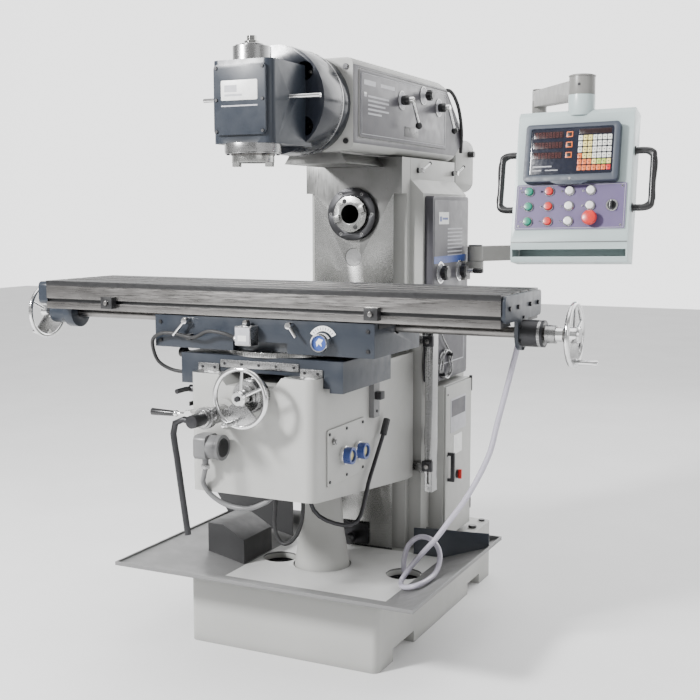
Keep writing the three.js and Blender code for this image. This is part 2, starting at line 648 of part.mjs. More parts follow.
const pendant = new THREE.Group();
pendant.position.set(PANEL.x, PANEL.y, PANEL.z);
pendant.rotation.set(-THREE.MathUtils.degToRad(PANEL.tilt), -THREE.MathUtils.degToRad(PANEL.roll), 0);
pendant.updateMatrix();
machine.add(pendant);

// The sheet-metal case, in the pendant's own frame: front face at y = 0, centre at the origin.
function pendantCase() {
  const w = PANEL.width / 2;
  const h = PANEL.height / 2;
  const d = PANEL.depth;
  const side = [[0, -h + 62], [0, h - 18], [14, h], [d, h], [d, -h + 8], [16, -h], [10, -h + 14]];
  const inner = box(-w + 5, w - 5, 5, d + 1, -h + 16, h - 24);
  const shell = cut(prism("x", side, -w, w), inner);
  const lid = box(-w + 5.5, w - 5.5, d - 6, d - 1, -h + 30, h - 38);
  const strip = box(-w + 4, w - 4, d - 5, d - 2, -h + 12, -h + 31);
  const upright = new THREE.Matrix4().copy(pendant.matrix).invert();
  const neckLow = 1764 - PANEL.z;
  const neck = new THREE.CylinderGeometry(HANG.r + 1, HANG.r + 1, HANG.split - PANEL.z - neckLow, ROUND)
    .rotateX(Math.PI / 2)
    .translate(HANG.x, HANG.y, PANEL.z + (HANG.split - PANEL.z + neckLow) / 2)
    .applyMatrix4(upright);
  return join(shell, lid, strip, solid(neck));
}

const DRO = { half: 148, z0: 3, z1: 188, out: 30 };
const PLATE = { x0: -174, x1: 174, z0: -144, z1: 2, out: 3 };
const BUTTON = { r: 14, out: 15, pitchZ: 48, top: -22, xs: [-131, -67, -2, 64] };

function droUnit() {
  const d = DRO;
  const face = roundedOutline(-d.half, d.half, d.z0, d.z1, 12);
  const recess = roundedOutline(-d.half + 18, d.half - 18, d.z0 + 22, d.z1 - 14, 6);
  return cut(prism("y", face, -d.out, -GAP), prism("y", recess, -d.out - 1, -d.out + 4));
}

function buttonPlate() {
  const p = PLATE;
  return prism("y", roundedOutline(p.x0, p.x1, p.z0, p.z1, 5), -p.out, 1);
}

// Where the buttons stand, and the holes that they travel in.
const BUTTONS = ["green", "red", "white"].flatMap((colour, i) =>
  [0, 1, 2].map((row) => ({ colour, n: row + 1, x: BUTTON.xs[i], z: BUTTON.top - row * BUTTON.pitchZ })),
).concat([0, 1].map((row) => ({ colour: "white", n: row + 4, x: BUTTON.xs[3], z: BUTTON.top - row * BUTTON.pitchZ })));
const STOP = { x: BUTTON.xs[3] + 4, z: -112 };
const buttonHoles = () => [
  ...BUTTONS.map(({ x, z }) => rod("y", BUTTON.r + 0.6, -9, 9, x, z, 16)),
  rod("y", 12.6, -9, 9, STOP.x, STOP.z, 16),
];

const button = (x, z) => rod("y", BUTTON.r, -BUTTON.out, -PLATE.out - GAP, x, z, 16);

function stopButton(x, z) {
  return join(rod("y", 12, -16, -PLATE.out - GAP, x, z, 16), rod("y", 23, -34, -15, x, z, 24));
}

function selector(x, z) {
  const y = -PLATE.out - GAP;
  return join(rod("y", 13, y - 8, y, x, z, 16), box(x - 4, x + 4, y - 20, y - 7, z - 13, z + 13));
}

function sideHandle(side) {
  const x = side * (PANEL.width / 2 - 3);
  const reach = side * 60;
  const [low, high] = [-68, 112];
  return tube([[x, 40, low], [x + reach * 0.6, 40, low], [x + reach, 40, low + 18], [x + reach, 40, 0],
    [x + reach, 40, high - 18], [x + reach * 0.6, 40, high], [x, 40, high]], 10, 22);
}

// ---------------------------------------------------------------- coolant hose
const HOSE = { r: 9, steps: 48 };
const HOSE_ROUTE = [
  [749, -404, 1133], [752, -415, 1078], [736, -420, 1001], [713, -420, 907], [689, -420, 812],
  [668, -420, 725], [630, -420, 639], [588, -420, 564], [539, -418, 494], [486, -404, 422],
  [429, -381, 358], [374, -356, 292], [350, -366, 249], [388, -437, 257], [442, -452, 275],
  [458, -355, 280], [459, -303, 307], [446, -271, 340], [411, -250, 367], [362, -237, 367],
  [323, -236, 335], [307, -238, 285], [305, -238, 240],
];

// ---------------------------------------------------------------- the machine
add("base", join(base(), screwPedestal()), FINISH.light);
add("chip_tray", chipTray(), FINISH.grey);
add("column", column(), FINISH.light);
add("column_side_box", sideBox(), FINISH.purple);
add("electrical_cabinet", cabinet(), FINISH.light);
add("cabinet_door", cabinetDoor(), FINISH.light);
add("stop_rail", stopRail(), FINISH.steel);
add("arm_bracket", armBracket(), FINISH.arm);
add("bearing_cap", bearingCap(), FINISH.steel);
add("horizontal_spindle", horizontalSpindle(), FINISH.steel);
add("speed_knob", roundKnob(SIDE_BOX.x1, 168, 1242, 34, 25), FINISH.black);
const rangeGrip = rod("x", 10, SIDE_BOX.x1 + 33, SIDE_BOX.x1 + 96, 370, 1241, SMALL);
add("range_knob", join(roundKnob(SIDE_BOX.x1, 370, 1241, 34, 25), rangeGrip), FINISH.black);

add("ram", join(ram(), ramSidePlate()), FINISH.light);
add("ram_motor", ramMotor(), FINISH.light);
add("ram_flange", ramFlange(), FINISH.blue);
add("ram_lever_front", sideLever(RAM.halfX + 3, 35, 1852, 40, -86), FINISH.black);
add("ram_knob", roundKnob(RAM.halfX + 3, 236, 1887, 40), FINISH.black);
add("ram_lever_rear", sideLever(RAM.halfX + 3, 394, 1856, 44, -84), FINISH.black);
[["front", 140], ["rear", 500]].forEach(([where, y]) =>
  add("ram_clamp_" + where,
    clampLever(rod("x", 9, 191 + GAP, 216, y, 1612, SMALL), [210, y, 1612], [214, y + 28, 1626], [218, y + 58, 1640]),
    FINISH.chrome));

add("head_body", join(headBody(), headCover()), FINISH.blue);
add("vertical_spindle", join(verticalSpindle(), drawbar()), FINISH.steel);

add("knee", knee(), FINISH.light);
add("elevating_screw", elevatingScrew(), FINISH.steel);
add("elevating_crank", elevatingCrank(), FINISH.steel);
add("cross_handwheel", crossHandwheel(), FINISH.chrome);
add("knee_control_box", controlBox(), FINISH.grey);
add("feed_lever", feedLever(), FINISH.black);
add("knee_lock_lever", kneeLockLever(), FINISH.black);
add("knee_clamp_lever", kneeClampLever(), FINISH.iron);

add("lower_saddle", lowerSaddle(), FINISH.blue);
add("saddle_clamp_knob", join(rod("x", 8, -325, -289 - GAP, -600, 1003, SMALL), rod("x", 16, -345, -322, -600, 1003, 18)),
  FINISH.black);
add("table_base", tableBase(), FINISH.blue);
add("table_dial", rod("y", 29, TBASE.front - 34, TBASE.front - GAP, 221, 1071, 24), FINISH.black);
[["left", -264, -40, -48], ["right", 112, 30, -34]].forEach(([where, x, dx, dz]) =>
  add("table_clamp_" + where,
    clampLever(rod("y", 10, TBASE.front - 26, TBASE.front - GAP, x, 1118, SMALL), [x, TBASE.front - 20, 1118],
      [x + dx / 2, TBASE.front - 24, 1118 + dz / 2], [x + dx, TBASE.front - 28, 1118 + dz]),
    FINISH.chrome));

add("table", join(table(), tableDog(-562), tableDog(392)), FINISH.steel);
add("table_bracket_left", tableBracket(TABLE.x0, -110, 38), FINISH.blue);
add("table_bracket_right", tableBracket(TABLE.x1, 78, 12), FINISH.blue);
add("lead_screw", leadScrew(), FINISH.steel);
add("handwheel_left", tableWheel(-1), FINISH.chrome);
add("handwheel_right", tableWheel(1), FINISH.chrome);
add("coolant_hose", tube(HOSE_ROUTE, HOSE.r, HOSE.steps), FINISH.hose);

add("pendant_lower_arm", lowerArm(), FINISH.arm);
add("pendant_upper_arm", upperArm(), FINISH.arm);
const pendantBody = join(pendantCase(), buttonPlate(), sideHandle(-1), sideHandle(1));
add("pendant_case", cut(pendantBody, ...buttonHoles()), FINISH.mint, pendant);
add("dro_unit", droUnit(), FINISH.bezel, pendant);
BUTTONS.forEach(({ colour, n, x, z }) => add("button_" + colour + "_" + n, button(x, z), FINISH[colour], pendant));
add("stop_button", stopButton(STOP.x, STOP.z), FINISH.red, pendant);
add("selector_switch", selector(131, -70), FINISH.black, pendant);

export default machine;
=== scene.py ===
import json
import math

import bmesh
import bpy
from mathutils import Matrix, Vector

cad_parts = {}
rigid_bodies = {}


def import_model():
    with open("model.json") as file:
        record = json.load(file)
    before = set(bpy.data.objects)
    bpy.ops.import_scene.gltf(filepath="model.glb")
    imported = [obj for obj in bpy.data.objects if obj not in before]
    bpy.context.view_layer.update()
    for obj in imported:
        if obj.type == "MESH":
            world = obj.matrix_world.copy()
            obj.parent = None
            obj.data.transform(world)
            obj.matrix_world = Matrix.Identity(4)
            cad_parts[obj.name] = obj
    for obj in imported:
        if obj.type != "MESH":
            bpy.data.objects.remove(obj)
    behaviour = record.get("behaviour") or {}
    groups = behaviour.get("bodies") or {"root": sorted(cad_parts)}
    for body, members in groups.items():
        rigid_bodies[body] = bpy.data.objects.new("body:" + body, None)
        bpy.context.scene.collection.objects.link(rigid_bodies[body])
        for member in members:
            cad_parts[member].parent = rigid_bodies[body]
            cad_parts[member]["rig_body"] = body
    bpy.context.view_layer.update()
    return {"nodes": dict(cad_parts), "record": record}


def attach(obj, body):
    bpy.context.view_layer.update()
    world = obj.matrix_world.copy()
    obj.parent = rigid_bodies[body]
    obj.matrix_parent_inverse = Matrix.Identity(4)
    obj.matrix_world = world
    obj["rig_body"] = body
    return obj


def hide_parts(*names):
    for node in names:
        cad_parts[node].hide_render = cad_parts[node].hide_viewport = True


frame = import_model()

NODES = frame["nodes"]
SLOT_OF = {row["node"]: row["material_slot"] for row in frame["record"]["subparts"]}
MM = 0.001  # the helpers below take millimetres, as on the machine's drawing
X, Y, Z = Vector((1, 0, 0)), Vector((0, 1, 0)), Vector((0, 0, 1))


# ------------------------------------------------------------------ camera
def add_camera():
    data = bpy.data.cameras.new("camera")
    data.lens = 57.44
    data.sensor_width = 36
    data.shift_y = 0.0037
    camera = bpy.data.objects.new("camera", data)
    camera.location = (1.7417, -3.6631, 1.457)
    camera.rotation_euler = (math.radians(82.9), 0, math.radians(25.6))
    bpy.context.scene.collection.objects.link(camera)
    bpy.context.scene.camera = camera


# ------------------------------------------------------------------ materials
class Nodes:
    """A short way to write a node tree."""

    def __init__(self, name):
        self.material = bpy.data.materials.new(name)
        self.material.use_nodes = True
        self.tree = self.material.node_tree
        self.shader = self.tree.nodes["Principled BSDF"]

    def add(self, kind, inputs=None, **settings):
        node = self.tree.nodes.new(kind)
        for key, value in settings.items():
            setattr(node, key, value)
        for key, value in (inputs or {}).items():
            if isinstance(value, bpy.types.NodeSocket):
                self.tree.links.new(value, node.inputs[key])
            else:
                node.inputs[key].default_value = value
        return node

    def place(self, stretch=(1, 1, 1)):
        """Position on the object in metres, with some axes stretched."""
        where = self.add("ShaderNodeTexCoord")
        return self.add("ShaderNodeMapping", {"Vector": where.outputs["Object"], "Scale": stretch}).outputs[0]

    def noise(self, scale, detail=3, stretch=(1, 1, 1)):
        settings = {"Vector": self.place(stretch), "Scale": scale, "Detail": detail}
        return self.add("ShaderNodeTexNoise", settings).outputs["Fac"]

    def span(self, value, low, high, start=0.3, end=0.7):
        """The value from start to end, turned into a number from low to high."""
        return self.add("ShaderNodeMapRange", {"Value": value, "From Min": start, "From Max": end,
                                               "To Min": low, "To Max": high}).outputs[0]

    def blend(self, factor, first, second):
        node = self.add("ShaderNodeMix", data_type="RGBA")
        for index, value in ((0, factor), (6, first), (7, second)):
            if isinstance(value, bpy.types.NodeSocket):
                self.tree.links.new(value, node.inputs[index])
            else:
                node.inputs[index].default_value = value
        return node.outputs[2]

    def set(self, **inputs):
        for key, value in inputs.items():
            socket = self.shader.inputs[key.replace("_", " ")]
            if isinstance(value, bpy.types.NodeSocket):
                self.tree.links.new(value, socket)
            else:
                socket.default_value = value

    def bump(self, height, strength, distance=0.001):
        node = self.add("ShaderNodeBump", {"Height": height, "Strength": strength, "Distance": distance})
        self.set(Normal=node.outputs[0])


def rgb(colour, share=1.0):
    return tuple(min(1, c * share) for c in colour) + (1,)


def painted(name, colour, roughness=0.4, texture=260, strength=0.18, shade_share=0.72):
    """Enamel over a casting: a fine orange-peel, slow colour drift and painted shade in the corners, where
    ambient occlusion darkens the colour.
    """
    n = Nodes(name)
    drift = n.span(n.noise(3.1, 4), 0, 1)
    base = n.blend(drift, rgb(colour, 0.95), rgb(colour, 1.04))
    # painted shade: ambient occlusion darkens the colour in corners and hollows, where shade falls
    corners = n.add("ShaderNodeAmbientOcclusion", {"Distance": 0.03}, samples=4).outputs["AO"]
    corner_shade = n.span(corners, 1, 0, 0.35, 0.95)
    speck = n.span(n.noise(900, 2), 0, 0.25, 0.62, 0.72)
    shaded_base = n.blend(corner_shade, base, rgb(colour, shade_share))
    n.set(Base_Color=n.blend(speck, shaded_base, rgb(colour, 0.8)), Coat_Weight=0.15, Coat_Roughness=0.25)
    n.set(Roughness=n.span(n.noise(24, 3), roughness - 0.06, roughness + 0.08), Specular_IOR_Level=0.35)
    n.bump(n.noise(texture, 2), strength, 0.0006)
    return n.material


def metal(name, colour, roughness=0.3, grain=(1, 1, 1), strength=0.08, stain=0.82):
    """Machined metal with cutter marks along one direction and faint oil stains."""
    n = Nodes(name)
    marks = n.noise(320, 4, grain)
    stains = n.span(n.noise(11, 5), 0, 1, 0.42, 0.66)
    n.set(Base_Color=n.blend(stains, rgb(colour), rgb(colour, stain)), Metallic=1.0)
    n.set(Roughness=n.span(marks, roughness - 0.07, roughness + 0.1))
    n.bump(marks, strength, 0.0004)
    return n.material


def plastic(name, colour, roughness=0.35, texture=600, strength=0.1, coat=0.2):
    n = Nodes(name)
    base = n.blend(n.span(n.noise(40, 3), 0, 1), rgb(colour, 0.92), rgb(colour, 1.05))
    n.set(Base_Color=base, Coat_Weight=coat, Coat_Roughness=0.15)
    n.set(Roughness=n.span(n.noise(90, 3), roughness - 0.05, roughness + 0.08))
    n.bump(n.noise(texture, 2), strength, 0.0003)
    return n.material


def glowing(name, colour, strength):
    n = Nodes(name)
    n.set(Base_Color=n.blend(n.span(n.noise(500, 1), 0, 1), rgb(colour, 0.8), rgb(colour)), Roughness=0.3)
    n.set(Emission_Color=rgb(colour), Emission_Strength=strength)
    return n.material


def braided_hose(name):
    """Clear tube over a woven braid."""
    n = Nodes(name)
    weave = n.add("ShaderNodeTexWave", {"Vector": n.place((1, 1, 1)), "Scale": 110.0, "Distortion": 1.5},
                  bands_direction="DIAGONAL").outputs["Fac"]
    n.set(Base_Color=n.blend(n.span(weave, 0, 1), (0.36, 0.33, 0.42, 1), (0.62, 0.60, 0.68, 1)))
    n.set(Roughness=0.22, Coat_Weight=0.6, Coat_Roughness=0.08, Transmission_Weight=0.15)
    n.bump(weave, 0.25, 0.0006)
    return n.material


LIGHT = painted("light_paint", (0.40, 0.40, 0.385), 0.45)
PALE = painted("tray_floor_paint", (0.62, 0.62, 0.61), 0.4)
BLUE = painted("blue_paint", (0.022, 0.028, 0.039), 0.36, shade_share=0.55)
GLOSS_BLUE = painted("gloss_blue_paint", (0.016, 0.019, 0.027), 0.16, strength=0.06, shade_share=0.55)
TRAY = painted("tray_paint", (0.17, 0.17, 0.17), 0.42)
# near black: partly the dark left rear wall of the tray, partly painted shade on the tray left of and below
# the knee
DARK_WALL_AND_SHADE = painted("dark_wall_and_painted_shade", (0.022, 0.022, 0.023), 0.5)
# darker grey for the tray's downward-facing underside: painted shade under the rim
TRAY_UNDERSIDE_SHADE = painted("tray_underside_painted_shade", (0.10, 0.10, 0.10), 0.4)
PURPLE = painted("purple_paint", (0.060, 0.058, 0.068), 0.36, texture=420, strength=0.1)
VIOLET = painted("violet_paint", (0.125, 0.095, 0.20), 0.36, texture=420, strength=0.1)
ARM = painted("arm_paint", (0.22, 0.218, 0.208), 0.4)
MINT = painted("mint_paint", (0.46, 0.545, 0.545), 0.34, texture=420, strength=0.1)
GREY = painted("box_grey", (0.16, 0.161, 0.163), 0.42)
STEEL = metal("ground_steel", (0.24, 0.232, 0.225), 0.3, (0.06, 1, 1))
WAY_STEEL = metal("scraped_steel", (0.24, 0.24, 0.235), 0.34, (1, 1, 0.05), 0.12)
TURNED = metal("turned_steel", (0.42, 0.42, 0.41), 0.24, (1, 0.08, 1))
CHROME = metal("chrome", (0.78, 0.78, 0.78), 0.12, (1, 1, 1), 0.02, 0.93)
SATIN = metal("satin_alloy", (0.36, 0.36, 0.36), 0.26, (1, 1, 1), 0.04, 0.9)
DARK = metal("dark_steel", (0.055, 0.055, 0.058), 0.38)
# the ground steel table top is coloured near black and not metal: painted reflection of the dark surroundings
# it mirrors
TABLE_TOP_REFLECTION = plastic("table_top_painted_reflection", (0.022, 0.022, 0.023), 0.55, 420, 0.12, 0)
BAND = plastic("black_band", (0.010, 0.010, 0.011), 0.38)
BLACK = plastic("black_plastic", (0.012, 0.012, 0.013), 0.3)
RUBBER = plastic("black_rubber", (0.02, 0.02, 0.021), 0.55, 300, 0.2, 0)
BEZEL = plastic("bezel_plastic", (0.040, 0.050, 0.070), 0.45, 800, 0.2, 0)
GLASS = plastic("dark_window", (0.008, 0.010, 0.022), 0.14, 900, 0.02, 0.6)
DISPLAY = plastic("display_window", (0.018, 0.006, 0.007), 0.2, 900, 0.02, 0.4)
WHITE = plastic("white_plastic", (0.80, 0.80, 0.78), 0.3)
LABEL = plastic("label_white", (0.78, 0.78, 0.77), 0.4, 900, 0.03, 0.1)
LABEL_GREY = plastic("label_grey", (0.42, 0.42, 0.45), 0.4, 900, 0.03, 0.1)
LABEL_BLUE = plastic("label_blue", (0.03, 0.07, 0.28), 0.35, 900, 0.03, 0.2)
GREEN = plastic("green_plastic", (0.010, 0.24, 0.15), 0.3)
RED = plastic("red_plastic", (0.62, 0.025, 0.02), 0.3)
YELLOW = plastic("yellow_key", (0.80, 0.66, 0.20), 0.35)
ORANGE = plastic("orange_key", (0.75, 0.16, 0.03), 0.35)
LIME = plastic("lime_key", (0.45, 0.55, 0.10), 0.35)
CREAM = plastic("white_key", (0.75, 0.75, 0.70), 0.35)
SIGHT = plastic("sight_glass", (0.55, 0.50, 0.25), 0.1, 900, 0.02, 0.8)
RING_BLUE = plastic("blue_ring", (0.03, 0.06, 0.22), 0.3)
HOSE = braided_hose("braided_hose")
DIGIT = glowing("readout_digit", (0.10, 0.012, 0.010), 0.05)


# ------------------------------------------------------------------ mesh helpers
def basis(axis):
    """The matrix that takes (u, v, t) to the machine's axes, t along the named one."""
    columns = {"x": (Y, Z, X), "y": (Z, X, Y), "z": (X, Y, Z)}[axis]
    return Matrix([[c[i] for c in columns] for i in range(3)]).to_4x4()


def block(x0, x1, y0, y1, z0, z1):
    bm = bmesh.new()
    bmesh.ops.create_cube(bm, size=1)
    size = Matrix.Diagonal((x1 - x0, y1 - y0, z1 - z0, 1))
    bm.transform(Matrix.Translation(((x0 + x1) / 2, (y0 + y1) / 2, (z0 + z1) / 2)) @ size)
    return bm


def turn(axis, profile, at=(0, 0, 0), sides=48):
    """A profile of (radius, distance along the axis) turned once round the axis through a point."""
    bm = bmesh.new()
    place = Matrix.Translation(at) @ basis(axis)
    rings = []
    for r, t in profile:
        count = 1 if r == 0 else sides
        angles = [2 * math.pi * i / sides for i in range(count)]
        rings.append([bm.verts.new(place @ Vector((r * math.cos(a), r * math.sin(a), t))) for a in angles])
    pairs = list(zip(rings, rings[1:]))
    if profile[0][0] and profile[-1][0]:
        pairs.append((rings[-1], rings[0]))
    for a, b in pairs:
        for i in range(sides):
            j = (i + 1) % sides
            corners = [a[i % len(a)], a[j % len(a)], b[j % len(b)], b[i % len(b)]]
            face = list(dict.fromkeys(corners))
            if len(face) > 2:
                bm.faces.new(face)
    bmesh.ops.recalc_face_normals(bm, faces=bm.faces)
    return bm


def disc(axis, r, start, end, at, chamfer=0.8, sides=40):
    """A short round bar with its edges broken, from start to end along the axis from a point."""
    lo, hi = min(start, end), max(start, end)
    c = min(chamfer, r * 0.3, (hi - lo) * 0.3)
    return turn(axis, [(0, lo), (r - c, lo), (r, lo + c), (r, hi - c), (r - c, hi), (0, hi)], at, sides)


def hoop(axis, r, inner, start, end, at, sides=48):
    c = min(0.8, (r - inner) * 0.25)
    outer = [(r - c, start), (r, start + c), (r, end - c), (r - c, end)]
    return turn(axis, [(inner, start)] + outer + [(inner, end)], at, sides)


def prism(axis, outline, start, end):
    """An outline of (u, v) points carried along the axis: (y, z) on x, (z, x) on y, (x, y) on z."""
    bm = bmesh.new()
    place = basis(axis)
    low, high = [[bm.verts.new(place @ Vector((u, v, t))) for u, v in outline] for t in (start, end)]
    bm.faces.new(low)
    bm.faces.new(high)
    for i in range(len(outline)):
        j = (i + 1) % len(outline)
        bm.faces.new((low[i], low[j], high[j], high[i]))
    bmesh.ops.recalc_face_normals(bm, faces=bm.faces)
    return bm


def rounded(u0, u1, v0, v1, r, steps=5):
    corners = [(u1 - r, v1 - r, 0), (u0 + r, v1 - r, 90), (u0 + r, v0 + r, 180), (u1 - r, v0 + r, 270)]
    angles = [(u, v, math.radians(a + 90 * i / steps)) for u, v, a in corners for i in range(steps + 1)]
    return [(u + r * math.cos(a), v + r * math.sin(a)) for u, v, a in angles]


def smooth_path(points, steps):
    """A Catmull-Rom curve through the points."""
    p = [Vector(q) for q in points]
    p = [2 * p[0] - p[1]] + p + [2 * p[-1] - p[-2]]
    out = []
    for a, b, c, d in zip(p, p[1:], p[2:], p[3:]):
        for i in range(steps):
            t = i / steps
            out.append(0.5 * ((2 * b) + (c - a) * t + (2 * a - 5 * b + 4 * c - d) * t * t
                              + (3 * b - a - 3 * c + d) * t ** 3))
    return out + [p[-2]]


def tube(points, r, steps=6, sides=14, radii=None):
    """A round tube along a smooth path. radii maps a share of the length to a factor on the radius."""
    path = smooth_path(points, steps)
    bm = bmesh.new()
    rings, normal = [], None
    for i, here in enumerate(path):
        ahead = (path[min(i + 1, len(path) - 1)] - path[max(i - 1, 0)]).normalized()
        if normal is None:
            normal = ahead.orthogonal().normalized()
        normal = (normal - ahead * normal.dot(ahead)).normalized()
        side = ahead.cross(normal)
        size = r * (radii(i / (len(path) - 1)) if radii else 1)
        angles = [2 * math.pi * k / sides for k in range(sides)]
        spokes = [normal * math.cos(a) + side * math.sin(a) for a in angles]
        rings.append([bm.verts.new(here + size * spoke) for spoke in spokes])
    for a, b in zip(rings, rings[1:]):
        for k in range(sides):
            j = (k + 1) % sides
            bm.faces.new((a[k], a[j], b[j], b[k]))
    bm.faces.new(rings[0])
    bm.faces.new(rings[-1])
    bmesh.ops.recalc_face_normals(bm, faces=bm.faces)
    return bm


def ball(r, at):
    bm = bmesh.new()
    bmesh.ops.create_uvsphere(bm, u_segments=24, v_segments=16, radius=r, matrix=Matrix.Translation(at))
    return bm


def hexagon(axis, r, start, end, at):
    return turn(axis, [(0, start), (r, start), (r, end), (0, end)], at, 6)


def break_edges(bm, width, angle=32):
    """Rounds the edges of a solid that are sharper than the angle."""
    limit = math.radians(angle)
    sharp = [e for e in bm.edges if len(e.link_faces) == 2 and e.calc_face_angle(0) > limit]
    if sharp and width > 0:
        bmesh.ops.bevel(bm, geom=sharp, offset=width, offset_type="OFFSET", segments=2, profile=0.6,
                        affect="EDGES", clamp_overlap=True)


class Piece:
    """Solids in millimetres gathered into one object that rides on a body."""

    def __init__(self, name, body, slot, at=Matrix.Identity(4)):
        self.name, self.body, self.slot, self.at = name, body, slot, at
        self.bm = bmesh.new()
        self.materials = []

    def add(self, part, material, edge=0.0, place=None):
        break_edges(part, edge)
        if place is not None:
            part.transform(place)
        if material not in self.materials:
            self.materials.append(material)
        for face in part.faces:
            face.material_index = self.materials.index(material)
        mesh = bpy.data.meshes.new("part")
        part.to_mesh(mesh)
        part.free()
        self.bm.from_mesh(mesh)
        bpy.data.meshes.remove(mesh)
        return self

    def done(self, *replaced):
        self.bm.transform(Matrix.Scale(MM, 4) @ self.at)
        return make_object(self.name, self.bm, self.materials, self.body, replaced)


def make_object(name, bm, materials, body, replaced=()):
    mesh = bpy.data.meshes.new(name)
    bm.to_mesh(mesh)
    bm.free()
    for material in materials:
        mesh.materials.append(material)
    for polygon in mesh.polygons:
        polygon.use_smooth = True
    mesh.set_sharp_from_angle(angle=math.radians(38))
    piece = bpy.data.objects.new(name, mesh)
    bpy.context.scene.collection.objects.link(piece)
    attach(piece, body)
    if replaced:
        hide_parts(*replaced)
    return piece


def casting(node, material, edge=2.0, zones=(), angle=32):
    """A CAD node's own shape with its edges rounded. zones are (test, material) pairs: a face goes to the
    last zone whose test takes its middle, in millimetres, and its normal."""
    bm = bmesh.new()
    bm.from_mesh(NODES[node].data)
    bmesh.ops.remove_doubles(bm, verts=bm.verts, dist=2e-5)
    bmesh.ops.dissolve_limit(bm, angle_limit=math.radians(1.2), verts=bm.verts, edges=bm.edges)
    break_edges(bm, edge * MM, angle)
    materials = [material] + [zone[1] for zone in zones]
    for face in bm.faces:
        middle = face.calc_center_median() / MM
        for index, (test, _) in enumerate(zones, 1):
            if test(middle, face.normal):
                face.material_index = index
    body = NODES[node]["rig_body"]
    return make_object(node + "_shape", bm, materials, body, [node])


def screw(piece, axis, r, at, out, head=DARK):
    """A socket-head screw whose head stands out from a face by out, along plus or minus the axis."""
    s = 1 if out > 0 else -1
    piece.add(disc(axis, r, 0, out, at, 0.6, 20), head)
    # the thin black hexagon on the head stands for the hex socket: painted shade of the recess
    piece.add(hexagon(axis, r * 0.55, out, out + s * 0.15, at), BLACK)


def line_marks(piece, axis, face, rows, material=LABEL_GREY):
    """Blank bars that stand where a plate has words."""
    for u0, u1, v0, v1 in rows:
        piece.add(prism(axis, [(u0, v0), (u1, v0), (u1, v1), (u0, v1)], face, face + 0.25), material)


# ------------------------------------------------------------------ the coolant hose
HOSE_ROUTE = [
    (0.749, -0.404, 1.133), (0.752, -0.415, 1.078), (0.736, -0.420, 1.001), (0.713, -0.420, 0.907),
    (0.689, -0.420, 0.812), (0.668, -0.420, 0.725), (0.630, -0.420, 0.639), (0.588, -0.420, 0.564),
    (0.539, -0.418, 0.494), (0.486, -0.404, 0.422), (0.429, -0.381, 0.358), (0.374, -0.356, 0.292),
    (0.350, -0.366, 0.249), (0.388, -0.437, 0.257), (0.442, -0.452, 0.275), (0.458, -0.355, 0.280),
    (0.459, -0.303, 0.307), (0.446, -0.271, 0.340), (0.411, -0.250, 0.367), (0.362, -0.237, 0.367),
    (0.323, -0.236, 0.335), (0.307, -0.238, 0.285), (0.305, -0.238, 0.240),
]
HOSE_DIAMETER = 0.018


def coolant_hose():
    path = smooth_path(HOSE_ROUTE, 8)
    bm = tube([Vector(p) / MM for p in path], HOSE_DIAMETER / 2 / MM, steps=1, sides=16)
    bm.transform(Matrix.Scale(MM, 4))
    hose = make_object("coolant_hose_tube", bm, [HOSE], "frame", ["coolant_hose"])


# ------------------------------------------------------------------ castings that keep the CAD shape
PENDANT = (Matrix.Translation((843, -190, 1547)) @ Matrix.Rotation(math.radians(-14), 4, "X")
           @ Matrix.Rotation(math.radians(-1.2), 4, "Y"))


def faces(nx=None, ny=None, nz=None, x=None, y=None, z=None, level=0.7):
    """A test on a face: its normal's side on an axis (+1 or -1), and ranges for its middle in millimetres."""
    def test(middle, normal):
        for side, value in ((nx, normal.x), (ny, normal.y), (nz, normal.z)):
            if side is not None and value * side < level:
                return False
        for span, value in ((x, middle.x), (y, middle.y), (z, middle.z)):
            if span is not None and not span[0] <= value <= span[1]:
                return False
        return True
    return test


